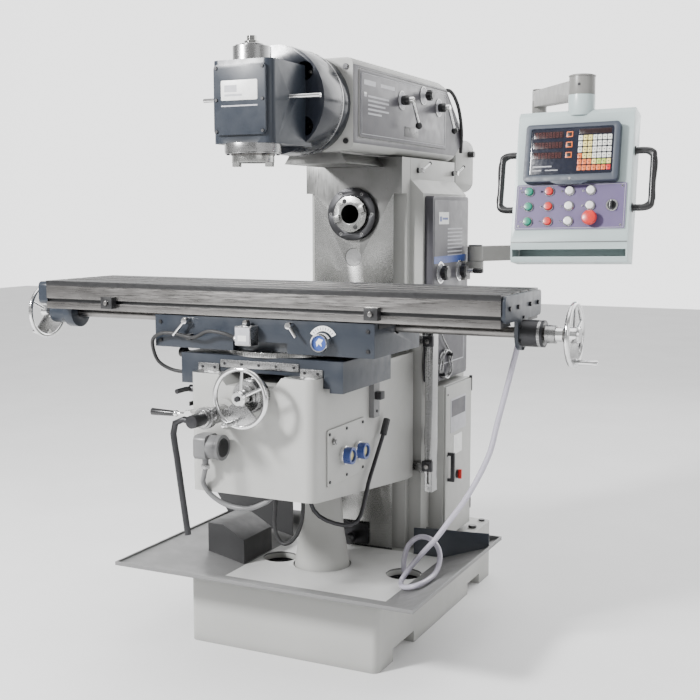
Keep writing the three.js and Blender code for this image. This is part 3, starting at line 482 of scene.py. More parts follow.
def castings():
    far = 9999
    casting("base", LIGHT, 3)
    casting("chip_tray", TRAY, 1.2, [
        # downward-facing faces of the tray get the darker grey: painted shade under the rim and slopes
        (faces(nz=1, level=0.2, z=(226, 297)), TRAY), (faces(nz=-1, level=0.2, z=(226, 297)), TRAY_UNDERSIDE_SHADE),
        # the wall right of the column is given the dark blue paint: painted shade, the wall's purple as it
        # looks in shadow
        (faces(nz=1, level=0.95, z=(226, 240)), PALE), (faces(y=(-16, -5), x=(249, 560), z=(228, 345)), BLUE),
        # the left rear wall and the tray left of and below the knee go near black: a dark wall, with painted
        # shade below the knee
        (faces(y=(-16, -5), x=(-600, -249), z=(228, 380)), DARK_WALL_AND_SHADE),
        (faces(y=(-392, -190), x=(-392, -237), z=(238, 370)), DARK_WALL_AND_SHADE)])
    casting("column", LIGHT, 3, [(faces(ny=-1, x=(-160, 160), y=(-3, 3)), WAY_STEEL),
                                 (faces(ny=1, level=0.3, y=(1, 46), x=(-160, 160)), WAY_STEEL),
                                 (faces(x=(-40, 40), y=(-6, 6), z=(1260, 1335)), TURNED)])
    casting("column_side_box", PURPLE, 1.5)
    casting("electrical_cabinet", LIGHT, 1.5)
    casting("cabinet_door", LIGHT, 1.5, [(faces(y=(170, 195), x=(304.6, 400)), DARK)])
    casting("stop_rail", SATIN, 1)
    casting("arm_bracket", ARM, 1.5)
    casting("bearing_cap", DARK, 1)
    # the bore inside the spindle is dark steel: painted shade inside the bore
    casting("horizontal_spindle", TURNED, 1, [(faces(y=(-28, 200), x=(-35, 35), z=(1419, 1490)), DARK)])
    casting("ram", LIGHT, 4, [(faces(nx=1, x=(167, 173), y=(-318, 478), z=(1700, 1928)), PURPLE),
                              (faces(z=(1600, 1660)), WAY_STEEL)])
    casting("ram_motor", LIGHT, 4)
    casting("ram_flange", GLOSS_BLUE, 1.5)
    casting("head_body", BLUE, 3, [
        (faces(z=(1908, 1960)), SATIN), (faces(z=(1600, 1663)), SATIN), (faces(y=(-562, -400)), GLOSS_BLUE),
        (faces(y=(-770, -563), x=(106, 210)), CHROME), (faces(y=(-770, -563), x=(-210, -106)), CHROME)])
    casting("vertical_spindle", TURNED, 0.8)
    casting("knee", LIGHT, 4, [(faces(y=(-900, -743.5)), SATIN), (faces(x=(224, 260)), GREY),
                               (faces(nz=1, z=(961, 963)), WAY_STEEL)])
    casting("knee_control_box", GREY, 1.5)
    casting("elevating_screw", STEEL, 0.5)
    casting("elevating_crank", DARK, 0.8)
    casting("feed_lever", BLACK, 0.8, [(faces(x=(-260, -190)), CHROME)])
    casting("knee_lock_lever", DARK, 0.8)
    casting("knee_clamp_lever", DARK, 0.8, [(faces(z=(722, far)), RUBBER)])
    casting("lower_saddle", BLUE, 2.5, [(faces(z=(1014.5, 1030)), TURNED)])
    casting("saddle_clamp_knob", BLACK, 0.8)
    casting("table_base", BLUE, 2.5, [(faces(y=(-730, -676.5)), SATIN), (faces(z=(1134, 1170)), STEEL)])
    casting("table_clamp_left", CHROME, 0.5)
    casting("table_clamp_right", CHROME, 0.5)
    casting("table", STEEL, 0.6, [
        # black in the slot bottoms is painted shade in the slots
        # near black on the top is painted reflection of dark surroundings in the ground steel
        (faces(nz=1, z=(1229, 1232)), TABLE_TOP_REFLECTION), (faces(z=(1196, 1212), y=(-600, -400)), BAND),
        (faces(y=(-685, -671), z=(1158, 1173)), BAND), (faces(y=(-712, -684)), BAND),
        (faces(ny=1, y=(-320, -317)), LIGHT), (faces(nz=-1, z=(1130, 1140)), DARK)])
    casting("table_bracket_left", BLUE, 3)
    casting("table_bracket_right", BLUE, 3, [(faces(x=(793, 900)), DARK)])
    casting("lead_screw", STEEL, 0.5)
    casting("pendant_lower_arm", ARM, 2)
    casting("pendant_upper_arm", ARM, 2.5)
    back = PENDANT.inverted()
    casting("pendant_case", MINT, 1.5, [(lambda middle, normal: abs((back @ middle).x) > 184, BLACK)])
    casting("dro_unit", BEZEL, 2)


# ------------------------------------------------------------------ handwheels
def wheel_parts(piece, r, place, grip):
    """A rim, a hub, a fan-shaped web and two spokes about the Y axis, with a turned grip on a pin."""
    web = [(r - 8, math.radians(a)) for a in range(-145, -44, 5)]
    section = [math.radians(a) for a in range(0, 360, 24)]
    rim = [(r - 8 + 7.9 * math.cos(a), 7.9 * math.sin(a)) for a in section]
    piece.add(turn("y", rim, sides=72), CHROME, place=place)
    hub = [(0, -17), (20, -17), (24, -12), (24, 13), (19, 17), (12, 17), (11, 19), (0, 19)]
    piece.add(turn("y", hub), CHROME, place=place)
    fan = [(0, 0)] + [(size * math.sin(a), size * math.cos(a)) for size, a in web]
    piece.add(prism("y", fan, -3.6, 3.6), SATIN, 0.8, place)
    for degrees in (85, 25):
        a = math.radians(degrees)
        reach = Vector((math.cos(a), 0, math.sin(a)))
        spoke = tube([reach * 18, reach * (r * 0.55), reach * (r - 8)], 5.2, 4, 12, lambda t: 1.15 - 0.3 * t)
        piece.add(spoke, CHROME, place=place)
    a = math.radians(grip["angle"])
    at = Vector((grip["r"] * math.cos(a), 0, grip["r"] * math.sin(a)))
    side = grip["side"]
    piece.add(disc("y", 10, -side * 6, side * 9, at), CHROME, place=place)
    profile = [(0, 8), (7, 8), (8.6, 18), (7.2, 34), (8.8, 56), (8.2, 66), (5, 71), (0, 72)]
    piece.add(turn("y", [(radius, side * t) for radius, t in profile], at, 28), grip["material"], place=place)


def handwheels():
    centre = Vector((20, -830, 908))
    p = Piece("cross_wheel", "cross_handwheel", "chrome")
    grip = {"angle": -104, "r": 76, "side": -1, "material": CHROME}
    wheel_parts(p, 96, Matrix.Translation(centre), grip)
    p.add(disc("y", 13, -820, -360, (20, 0, 908)), STEEL)
    p.add(disc("y", 9, -853, -849, (20, 0, 908), 0.5, 6), DARK)
    p.done("cross_handwheel")
    for side, node, x in ((-1, "handwheel_left", -982.3), (1, "handwheel_right", 944.3)):
        p = Piece(node + "_wheel", "table_screw", "chrome")
        place = Matrix.Translation((x, -505, 1109.5)) @ Matrix.Rotation(side * math.pi / 2, 4, "Z")
        grip = {"angle": -90, "r": 78, "side": -1, "material": CHROME}
        wheel_parts(p, 98, place, grip)
        p.done(node)
        q = Piece(node + "_collar", "table_screw", "ground_steel")
        near = -902 if side < 0 else 862
        middle, far = near + side * 30, near + side * 52
        q.add(hoop("x", 27, 17, min(near, middle), max(near, middle), (0, -505, 1109.5)), SATIN)
        q.add(hoop("x", 22, 17, min(middle, far), max(middle, far), (0, -505, 1109.5)), CHROME)
        for i in range(40):
            spin = Matrix.Rotation(2 * math.pi * i / 40, 4, "X")
            mark = Matrix.Translation((near + side * 8, -505, 1109.5)) @ spin
            q.add(block(-5 if i % 5 else -8, 5, -0.3, 0.3, 26.9, 27.15), BLACK, place=mark)
        q.done()


# ------------------------------------------------------------------ vertical head
def head_details():
    p = Piece("head_cover_screws", "head", "dark_steel")
    for x in (-79, 79):
        for z in (1698, 1790, 1883):
            screw(p, "y", 5, (x, -782, z), -3.5)
    p.done()
    q = Piece("head_label", "head", "light_paint")
    q.add(prism("y", [(v, u) for u, v in rounded(-62, 62, 1788, 1846, 4)], -783.2, -782), LABEL, 0.3)
    q.add(block(-62, 62, -782.7, -782, 1770, 1774), LABEL_GREY)
    line_marks(q, "y", -783.6, [(1812, 1832, -50, -8), (1800, 1806, -50, 10)], LABEL_GREY)
    q.done()
    crown = Piece("head_crown_screws", "head", "dark_steel")
    for i in range(4):
        a = math.radians(45 + 90 * i)
        screw(crown, "z", 6, (44 * math.cos(a), -705 + 44 * math.sin(a), 1950), 5)
    crown.add(hoop("z", 37, 30.5, 1950, 1958, (0, -705, 0)), SATIN)
    crown.done()
    ringed = Piece("spindle_collar_ring", "head", "ground_steel")
    ringed.add(hoop("z", 84, 66, 1634, 1639, (0, -705, 0)), SATIN)
    ringed.add(hoop("z", 66, 47, 1629, 1639, (0, -705, 0)), STEEL)
    for i in range(6):
        a = math.radians(30 + 60 * i)
        screw(ringed, "z", 5, (75 * math.cos(a), -705 + 75 * math.sin(a), 1634), -3)
    ringed.done()
    drum = Piece("swivel_nuts", "head", "dark_steel")
    for degrees in (40, 320):
        a = math.radians(degrees)
        at = (130 * math.cos(a), 0, 1808 + 130 * math.sin(a))
        drum.add(disc("y", 15, -504, -500, at), DARK)
        drum.add(hexagon("y", 12.5, -516, -504, at), DARK, 0.8)
        drum.add(disc("y", 6, -524, -516, at), STEEL)
    drum.done()
    rim = Piece("swivel_scale", "head", "ground_steel")
    rim.add(hoop("y", 168.6, 150, -430, -424, (0, 0, 1808), 96), SATIN)
    for i in range(-45, 46, 3):
        turned = Matrix.Translation((0, 0, 1808)) @ Matrix.Rotation(math.radians(i + 90), 4, "Y")
        rim.add(block(-0.35, 0.35, -438 if i % 15 else -442, -430, 168.0, 168.3), LABEL_GREY,
                place=turned)
    rim.done()


def ram_details():
    x = 172
    p = Piece("ram_panel", "ram", "purple_paint")
    p.add(prism("x", rounded(-300, 460, 1716, 1912, 8), x, x + 0.8), PURPLE, 0.3)
    for y0, y1, z0, z1 in ((-300, 460, 1911, 1912.5), (-300, 460, 1715.5, 1717), (-300.5, -299, 1716, 1912),
                           (459, 460.5, 1716, 1912)):
        p.add(block(x, x + 1.3, y0, y1, z0, z1), LABEL_GREY)
    line_marks(p, "x", x + 0.9, [(-282, -190, 1876, 1892), (-150, -30, 1878, 1890), (-282, -262, 1838, 1850),
                                 (-250, -80, 1838, 1844), (-250, -80, 1824, 1830), (-250, -110, 1810, 1816),
                                 (-250, -80, 1796, 1802), (-250, -140, 1782, 1788)], LABEL_GREY)
    p.add(block(x, x + 1.4, 60, 190, 1728, 1764), BLACK, 0.3)
    p.add(block(x, x + 1.4, -282, -262, 1846, 1852), LABEL)
    p.done()
    for name, y, z in (("ram_lever_front", 35, 1852), ("ram_knob", 236, 1887), ("ram_lever_rear", 394, 1856)):
        q = Piece(name + "_dial", "ram", "light_paint")
        q.add(disc("x", 30, x + 0.8, x + 2.4, (0, y, z), 0.5), LABEL_GREY)
        q.add(hoop("x", 34, 30, x + 0.8, x + 3, (0, y, z)), SATIN)
        q.done()
    front = Piece("ram_front_screws", "ram", "dark_steel")
    for sx in (-1, 1):
        for z in (1690, 1926):
            screw(front, "y", 9, (sx * 144, -358, z), -6)
    front.done()
    rear = Piece("ram_motor_details", "ram", "light_paint")
    for i in range(6):
        rear.add(block(-90, 90, 860, 861.2, 1590 + 24 * i, 1598 + 24 * i), DARK, 0.3)
    for sx in (-1, 1):
        for z in (1562, 1745):
            screw(rear, "y", 6, (sx * 118, 857, z), 4)
    rear.add(disc("x", 13, 150, 176, (0, 800, 1700)), BLACK)
    rear.done()
    cable = Piece("ram_cable", "ram", "black_plastic")
    route = [(150, 470, 1925), (172, 520, 1930), (178, 590, 1880), (176, 640, 1790), (165, 664, 1700)]
    cable.add(tube(route, 7), RUBBER)
    cable.done()


def lever(node, y, z, dy, dz):
    """A hub with a bent arm and a ball grip."""
    x = 172
    p = Piece(node + "_shape", NODES[node]["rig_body"], SLOT_OF[node])
    hub = [(0, x + 3.2), (15, x + 3.2), (17, x + 6), (17, x + 27), (14, x + 32), (0, x + 32)]
    p.add(turn("x", hub, (0, y, z)), BLACK)
    p.add(turn("x", [(0, x + 31), (11, x + 31), (11, x + 44), (8, x + 48), (0, x + 48)], (0, y, z)), CHROME)
    end = (x + 50, y + dy, z + dz)
    p.add(tube([(x + 42, y, z), (x + 46, y + dy / 2, z + dz / 2), end], 5.5, 5, 14), CHROME)
    p.add(ball(13, end), BLACK)
    p.done(node)


def round_knob(node, at, reach, r):
    x, y, z = at
    p = Piece(node + "_shape", NODES[node]["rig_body"], SLOT_OF[node])
    p.add(disc("x", 9, x + 0.6, x + reach - 20, (0, y, z)), CHROME)
    profile = [(0, x + reach - 26), (r - 4, x + reach - 26), (r, x + reach - 21), (r, x + reach - 6),
               (r - 5, x + reach), (0, x + reach)]
    p.add(turn("x", profile, (0, y, z)), BLACK)
    for i in range(10):
        a = 2 * math.pi * i / 10
        rib = (0, y + r * math.cos(a), z + r * math.sin(a))
        p.add(disc("x", 2.6, x + reach - 22, x + reach - 5, rib, 0.4, 10), BLACK)
    if node == "range_knob":
        p.add(disc("x", 9, x + reach - 1, x + reach + 22, (0, y, z)), CHROME)
        p.add(turn("x", [(0, 326), (8, 326), (10, 336), (10, 358), (7, 367.5), (0, 367.5)], (0, y, z)), BLACK)
    p.done(node)


def knobs_and_levers():
    lever("ram_lever_front", 35, 1852, 40, -86)
    lever("ram_lever_rear", 394, 1856, 44, -84)
    round_knob("ram_knob", (172, 236, 1887), 40, 17)
    round_knob("speed_knob", (272, 168, 1242), 34, 25)
    round_knob("range_knob", (272, 370, 1241), 34, 25)
    for where, y in (("front", 140), ("rear", 500)):
        node = "ram_clamp_" + where
        p = Piece(node + "_shape", node, "chrome")
        p.add(disc("x", 9, 191.4, 216, (0, y, 1612)), CHROME)
        p.add(hexagon("x", 11, 192, 200, (0, y, 1612)), DARK, 0.6)
        p.add(tube([(210, y, 1612), (214, y + 28, 1626), (218, y + 56, 1639)], 4.6, 4, 12), CHROME)
        p.add(ball(6.5, (218, y + 56, 1639)), BLACK)
        p.done(node)


# ------------------------------------------------------------------ column and cabinet
def column_details():
    nose = Piece("bearing_cap_screws", "frame", "dark_steel")
    for i in range(6):
        a = math.radians(60 * i)
        screw(nose, "y", 6, (81.5 * math.cos(a), -12.2, 1454.4 + 81.5 * math.sin(a)), -7, SATIN)
    nose.done()
    face = Piece("spindle_nose_details", "horizontal_spindle", "ground_steel")
    for i in range(4):
        a = math.radians(25 + 90 * i)
        at = (50.8 * math.cos(a), 0, 1454.4 + 50.8 * math.sin(a))
        face.add(hoop("y", 8.5, 6, -30.6, -30, at, 24), DARK)
        # a black disc in each ring stands for a tapped hole: painted shade of the hole
        face.add(disc("y", 6, -30.4, -30, at, 0.1, 20), BLACK)
    face.add(hoop("y", 43, 35.5, -31, -30, (0, 0, 1454.4)), CHROME)
    face.done()
    plug = Piece("column_plug", "frame", "ground_steel")
    plug.add(turn("y", [(0, 1), (31, 1), (32, 2), (32, 4), (0, 4)], (0, 0, 1299)), CHROME)
    plug.done()
    label = Piece("side_box_plate", "frame", "purple_paint")
    x = 272
    label.add(prism("x", rounded(104, 450, 856, 1506, 9), x, x + 0.8), PURPLE, 0.2)
    label.add(block(x, x + 1.2, 150, 250, 1418, 1462), LABEL)
    line_marks(label, "x", x + 1.2, [(158, 176, 1428, 1446), (184, 240, 1434, 1442)], LABEL_BLUE)
    line_marks(label, "x", x + 0.8, [(240, 396, z, z + 5) for z in range(1300, 1400, 14)], LABEL_GREY)
    label.add(block(x, x + 1.2, 104, 450, 1276, 1302), LABEL_BLUE)
    label.add(block(x, x + 1.2, 130, 424, 900, 1170), LABEL_GREY)
    label.add(block(x, x + 1.4, 134, 420, 904, 1166), PURPLE)
    label.done()
    for name, y, z in (("speed", 168, 1242), ("range", 370, 1241)):
        q = Piece(name + "_dial_plate", "frame", "ground_steel")
        q.add(hoop("x", 40, 34, x + 0.8, x + 3.5, (0, y, z)), CHROME)
        q.add(disc("x", 34, x + 0.8, x + 2.2, (0, y, z)), LABEL_GREY)
        for i in range(8):
            a = math.radians(45 * i + 20)
            dot = (0, y + 30 * math.cos(a), z + 30 * math.sin(a))
            q.add(disc("x", 1.6, x + 2.2, x + 2.5, dot, 0.1, 10), BLACK)
        q.done()


def cabinet_details():
    x = 304.3
    door = Piece("door_details", "cabinet_door", "dark_steel")
    door.add(block(x, x + 1.2, 206, 372, 640, 770), LABEL_GREY, 0.3)
    door.add(block(x + 1.2, x + 1.5, 214, 364, 700, 762), PURPLE)
    door.add(prism("x", rounded(239, 330, 552, 626, 4), x, x + 1.5), LABEL, 0.2)
    door.add(disc("x", 17, x, x + 6, (0, 284, 470)), BLACK)
    door.add(block(x + 6, x + 19, 280, 288, 452, 488), RED, 1)
    for z in (300, 770):
        door.add(disc("z", 6, z, z + 60, (x - 4, 439, 0)), DARK)
    for z in (300, 560, 790):
        screw(door, "x", 4, (x, 176, z), 2)
    door.done()
    coil = Piece("capillary_coil", "frame", "ground_steel")
    turns = [(x0, 210 + 52 * math.cos(a), 900 + 52 * math.sin(a)) for x0, a in
             ((283 + 7 * math.sin(k * 0.9), 2 * math.pi * k / 12) for k in range(37))]
    coil.add(tube(turns, 3.2, 4, 8), SATIN)
    coil.add(tube([(276, 160, 1080), (283, 170, 1010), (283, 262, 930), (283, 262, 900)], 3.2, 8, 8), SATIN)
    for a in (40, 220):
        c = math.radians(a)
        y, z = 210 + 52 * math.cos(c), 900 + 52 * math.sin(c)
        coil.add(block(274, 296, y - 6, y + 6, z - 6, z + 6), DARK, 1)
    coil.done()


def rail_details():
    p = Piece("rail_stops", "frame", "dark_steel")
    for z in (1010, 560):
        p.add(block(281, 319, -22, -6.2, z - 19, z + 19), DARK, 2)
        p.add(hexagon("y", 9, -30, -22, (300, 0, z)), STEEL, 0.8)
    for z, s in ((905, 1), (655, -1)):
        p.add(prism("x", rounded(48, 96, z - 34, z + 34, 5), 262, 296), GREY, 0.8)
        p.add(disc("y", 7, 30, 48, (279, 0, z + 14 * s)), STEEL)
        lead = [(279, 72, z - 34), (279, 74, z - 60), (268, 78, z - 120), (262, 74, z - 170)]
        p.add(tube(lead, 4.5, 6, 10), BLACK)
    p.done()
    q = Piece("column_pipes", "frame", "ground_steel")
    bright = [(246, 92, 1100), (262, 60, 1010), (266, 64, 900), (258, 80, 840), (246, 110, 790)]
    q.add(tube(bright, 3.5, 8, 10), SATIN)
    dark = [(246, 100, 1090), (274, 84, 1020), (262, 88, 940), (270, 86, 850), (262, 84, 700)]
    q.add(tube(dark, 3, 8, 10), BLACK)
    q.done()


def foot_details():
    p = Piece("column_foot_knob", "frame", "black_plastic")
    p.add(block(-72, 65, -9, -0.5, 240, 318), DARK, 2)
    p.add(disc("y", 11, -24, -9, (3, 0, 262)), STEEL)
    p.add(turn("y", [(0, -52), (17, -52), (21, -47), (21, -30), (14, -24), (0, -24)], (3, 0, 262)), BLACK)
    for x in (-58, 50):
        screw(p, "y", 6, (x, -9, 296), -4)
    p.done()
    q = Piece("base_cap", "frame", "black_plastic")
    q.add(disc("z", 17, 225.4, 236, (322, 420, 0), 3), BLACK)
    for x in (-322, 322):
        for y in (-532, 532):
            q.add(disc("z", 13, 225.2, 231, (x, y, 0), 2), DARK)
    q.done()
    hole = Piece("base_hole_rings", "frame", "light_paint")
    for y in (-330, 350):
        hole.add(hoop("x", 13, 9, 351.4, 352, (0, y, 150)), LIGHT)
        # a black disc inside each ring stands for the hole: painted shade of the hole
        hole.add(disc("x", 9, 351.2, 351.8, (0, y, 150), 0.1), BLACK)
    hole.done()
    drain = Piece("drain_strainers", "frame", "dark_steel")
    for x, y in ((-170, -252), (305, -238)):
        drain.add(hoop("z", 60, 55, 203, 209, (x, y, 0)), DARK)
        for i in range(-4, 5):
            half = math.sqrt(56 ** 2 - (12 * i) ** 2)
            if x > 0 and abs(12 * i) < 14:
                continue  # the hose goes down between these bars
            drain.add(block(x - half, x + half, y + 12 * i - 1.5, y + 12 * i + 1.5, 204, 207), DARK)
    drain.done()


# ------------------------------------------------------------------ knee
def knee_details():
    p = Piece("knee_dials", "knee", "ground_steel")
    p.add(hoop("y", 48, 34.5, -796, -774, (20, 0, 908)), SATIN)
    for i in range(50):
        place = Matrix.Translation((20, 0, 908)) @ Matrix.Rotation(2 * math.pi * i / 50, 4, "Y")
        p.add(block(-0.35, 0.35, -796, -789 if i % 5 else -785, 47.9, 48.2), BLACK, place=place)
    for i in range(3):
        a = math.radians(90 + 120 * i)
        screw(p, "y", 5, (20 + 44 * math.cos(a), -772, 908 + 44 * math.sin(a)), -2)
    p.add(hoop("y", 33, 26.5, -872, -846, (-85, 0, 845)), SATIN)
    for i in range(40):
        place = Matrix.Translation((-85, 0, 845)) @ Matrix.Rotation(2 * math.pi * i / 40, 4, "Y")
        p.add(block(-0.35, 0.35, -872, -866 if i % 5 else -862, 32.9, 33.2), BLACK, place=place)
    p.add(hoop("y", 44, 26.5, -758, -742.4, (-85, 0, 845)), LIGHT)
    p.done()
    box = Piece("control_box_details", "knee", "tray_paint")
    box.add(hoop("x", 40, 30, -84, -71, (0, -783.3, 740)), GREY)
    box.add(disc("x", 30, -76, -69.5, (0, -783.3, 740), 2), DARK)
    box.add(hexagon("z", 15, 668, 682, (-138, -782.3, 0)), SATIN, 1)
    conduit = [(-138, -782, 670), (-150, -774, 640), (-161, -760, 614), (-144, -745, 576), (-92, -735, 546),
               (-19, -730, 541), (42, -722, 566), (64, -712, 588)]
    box.add(tube(conduit, 8, 8, 14), GREY)
    for z in (712, 768):
        for y in (-812, -752):
            screw(box, "x", 3.2, (-158, y, z), -2)
    box.done()
    loop = Piece("knee_cable", "knee", "black_plastic")
    route = [(10, -600, 575), (8, -600, 520), (4, -600, 468), (12, -600, 425), (31, -600, 401),
             (58, -600, 406), (83, -600, 432), (100, -600, 470), (107, -600, 510), (104, -590, 566)]
    loop.add(tube(route, 6.5, 8, 14), RUBBER)
    loop.done()
    side = Piece("knee_side_plate", "knee", "light_paint")
    side.add(prism("x", rounded(-660, -392, 618, 796, 8), 222, 227), LIGHT, 0.8)
    for y in (-646, -526, -406):
        for z in (632, 782):
            screw(side, "x", 5, (227, y, z), 3)
    for y, z in ((-550, 700), (-448, 696)):
        side.add(hoop("x", 27, 19, 227, 262, (0, y, z)), RING_BLUE)
        side.add(hoop("x", 30, 27, 227, 239, (0, y, z)), CHROME)
        side.add(disc("x", 19, 228, 255, (0, y, z), 3), SIGHT)
    side.add(hexagon("x", 12, 227, 236, (0, -620, 757)), SATIN, 1)
    side.add(disc("x", 7, 236, 240, (0, -620, 757)), SATIN)
    side.done()
    bar = Piece("knee_limit_bar", "knee", "tray_paint")
    for z in (805, 905):
        screw(bar, "x", 5, (240, -322, z), 3)
    bar.add(block(240, 262, -338, -306, 846, 872), DARK, 2)
    bar.done()
    left = Piece("knee_left_gib", "knee", "dark_steel")
    left.add(block(-226, -222.2, -736, -30, 852, 866), DARK, 0.8)
    for y in range(-700, -20, 130):
        screw(left, "x", 4.5, (-226, y, 859), -2)
    left.done()
    grip = Piece("feed_lever_boss", "feed_lever", "chrome")
    grip.add(disc("y", 17, -776, -770, (-205, 0, 830), 2), CHROME)
    grip.add(ball(11, (-259, -760, 830)), CHROME)
    grip.done()


# ------------------------------------------------------------------ saddle and table
def saddle_details():
    p = Piece("saddle_wipers", "saddle", "ground_steel")
    for x0, x1, z0, z1 in ((-140, 140, 976, 1000), (145, 222, 962, 986), (-222, -145, 962, 986)):
        p.add(block(x0, x1, -684.5, -680, z0, z1), SATIN, 0.8)
        count = 5 if x1 - x0 > 200 else 2
        for i in range(count):
            x = x0 + 16 + (x1 - x0 - 32) * i / (count - 1)
            screw(p, "y", 4.5, (x, -684.5, (z0 + z1) / 2), -2.5)
    for i in range(-30, 31, 2):
        place = Matrix.Translation((0, -500, 0)) @ Matrix.Rotation(math.radians(i), 4, "Z")
        p.add(block(-0.4, 0.4, -190.4, -189.6, 1015, 1022 if i % 10 else 1027), BLACK, place=place)
    p.add(block(-292, -289, -660, -340, 930, 950), DARK, 0.8)
    p.done()


def table_base_details():
    s = Piece("limit_switch", "swivel_base", "tray_paint")
    s.add(block(-60, -8, -725.5, -722, 1056, 1108), LABEL_GREY, 1)
    s.add(block(-50, -20, -726, -725.4, 1066, 1084), LABEL)
    s.add(disc("y", 8, -710, -690, (-34, 0, 1122)), STEEL)
    s.add(block(-42, -26, -712, -688, 1111, 1120), SATIN, 1)
    s.add(hexagon("x", 11, -74, -62, (0, -703, 1072)), SATIN, 1)
    s.done()
    cable = Piece("limit_switch_cable", "swivel_base", "black_plastic")
    route = [(-70, -703, 1072), (-110, -712, 1086), (-165, -712, 1090), (-215, -706, 1070),
             (-250, -694, 1066), (-300, -700, 1076), (-352, -700, 1074), (-392, -690, 1052),
             (-402, -672, 1010), (-392, -655, 972), (-350, -640, 948), (-292, -630, 942)]
    cable.add(tube(route, 6, 8, 14), RUBBER)
    cable.add(block(-262, -246, -692, -676.2, 1056, 1076), BLACK, 1.5)
    cable.done()
    d = Piece("dial_scale", "swivel_base", "ground_steel")
    arc = [(1071 + r * math.sin(math.radians(a)), 221 + r * math.cos(math.radians(a)))
           for r, angles in ((50, range(30, 151, 8)), (34, range(150, 29, -8))) for a in angles]
    d.add(prism("y", arc, -677.4, -676), LABEL, 0.2)
    for i in range(9):
        a = math.radians(42 + 12 * i)
        place = Matrix.Translation((221, 0, 1071)) @ Matrix.Rotation(a - math.pi / 2, 4, "Y")
        d.add(block(-0.7, 0.7, -677.8, -677.3, 38, 46), BLACK, place=place)
    d.done()
    k = Piece("table_dial_shape", "table_dial", "dark_steel")
    cup = [(0, -700), (24, -700), (24, -708), (27, -710), (29, -706), (29, -677), (0, -677)]
    k.add(turn("y", cup, (221, 0, 1071)), CHROME)
    k.add(disc("y", 23.6, -701.5, -699, (221, 0, 1071), 0.4), LABEL_BLUE)
    arrow = [(14, -2), (2, -12), (-12, -9), (-2, -3), (-11, 8), (0, 5), (10, 12)]
    k.add(prism("y", [(1071 + u, 221 + v) for u, v in arrow], -702, -701), LABEL)
    k.done("table_dial")
    b = Piece("table_base_screws", "swivel_base", "dark_steel")
    for x in (-370, 370):
        for z in (1050, 1110):
            screw(b, "y", 6, (x, -676, z), -4)
    b.add(block(-395, -391, -650, -350, 1116, 1130), RUBBER, 1)
    b.add(block(391, 395, -650, -350, 1116, 1130), RUBBER, 1)
    b.done()


def table_details():
    t = Piece("table_front_band", "table", "ground_steel")
    # black along the top of the front face: painted reflection of dark surroundings in the ground edge, as on
    # the top
    t.add(block(-832, 780, -684, -683, 1214.5, 1230.6), BAND, 0.3)
    for x in (-562, 392):
        t.add(hexagon("y", 8, -716, -709.2, (x, 0, 1165)), STEEL, 0.8)
    t.done()
    e = Piece("table_end_screws", "table", "dark_steel")
    for y in (-640, -560, -440, -360):
        screw(e, "x", 7, (792, y, 1190), 5)
        screw(e, "x", 7, (-870, y, 1190), -5)
    for i in range(6):
        a = math.radians(60 * i + 30)
        for x, out in ((792, 4), (-870, -4)):
            screw(e, "x", 4.5, (x, -505 + 46.5 * math.cos(a), 1109.5 + 46.5 * math.sin(a)), out)
    e.add(turn("x", [(18, 858), (34, 858), (40, 850), (40, 842), (18, 842)], (0, -505, 1109.5)), SATIN)
    e.add(disc("z", 12, 1128, 1137, (749, -404, 0)), DARK)
    e.done()


# ------------------------------------------------------------------ pendant
def on_panel(name, body="pendant", slot="mint_paint"):
    return Piece(name, body, slot, PENDANT)


def plate(piece, x0, x1, z0, z1, y0, y1, material, r=1.5, edge=0.3):
    piece.add(prism("y", [(v, u) for u, v in rounded(x0, x1, z0, z1, r)], y0, y1), material, edge)


def readout():
    p = on_panel("readout_face", slot="bezel_plastic")
    plate(p, -129, 129, 26, 173, -26.8, -25.8, GLASS, 5)
    for row in range(3):
        z = 142 - row * 33
        plate(p, -122, -28, z, z + 22, -27.6, -26.6, DISPLAY, 2)
        for i in range(8):
            x = -116 + 11 * i
            level = [(x, x + 6, z + up, z + up + 1) for up in (3, 10.5, 18)]
            upright = [(x, x + 1, z + 4, z + 18), (x + 5, x + 6, z + 4, z + 18)]
            for a, b, c, d in level + upright:
                p.add(block(a, b, -27.9, -27.6, c, d), DIGIT)
        plate(p, -18, 2, z + 2, z + 20, -27.8, -26.6, ORANGE, 2)
        plate(p, -15, -1, z + 5, z + 17, -28.6, -27.6, BLACK, 1.5)
    plate(p, 22, 122, 152, 168, -27.6, -26.6, DISPLAY, 2)
    line_marks(p, "y", -27.2, [(38, 41, -120, -92), (38, 41, -80, -40), (50, 54, -120, -60)], LABEL_GREY)
    p.done()
    keys = on_panel("readout_keys", slot="white_plastic")
    upper = (CREAM, YELLOW, YELLOW, CREAM, CREAM, CREAM, CREAM)
    rows = [upper, upper, upper, (ORANGE,) + upper[1:], (ORANGE, ORANGE, ORANGE, YELLOW, LIME, LIME, YELLOW),
            (ORANGE, ORANGE, ORANGE, ORANGE, ORANGE, ORANGE, RED)]
    for j, row in enumerate(rows):
        for i, colour in enumerate(row):
            x, z = 21 + 15.1 * i, 132 - 19.2 * j
            plate(keys, x, x + 12.4, z, z + 15.6, -28.4, -26.7, colour, 1.8, 0.4)
            keys.add(block(x + 4, x + 8.4, -28.6, -28.3, z + 6.6, z + 9), BAND)
    keys.done()
    rim = on_panel("readout_rim", slot="bezel_plastic")
    v = [(2, -60), (-7, -38), (-7, 38), (2, 60), (14, 60), (14, -60)]
    rim.add(prism("y", v, -29.8, -24), BEZEL, 0.8)
    rim.add(disc("y", 4.5, -31, -29.6, (0, 0, 11), 0.5), SATIN)
    rim.done()


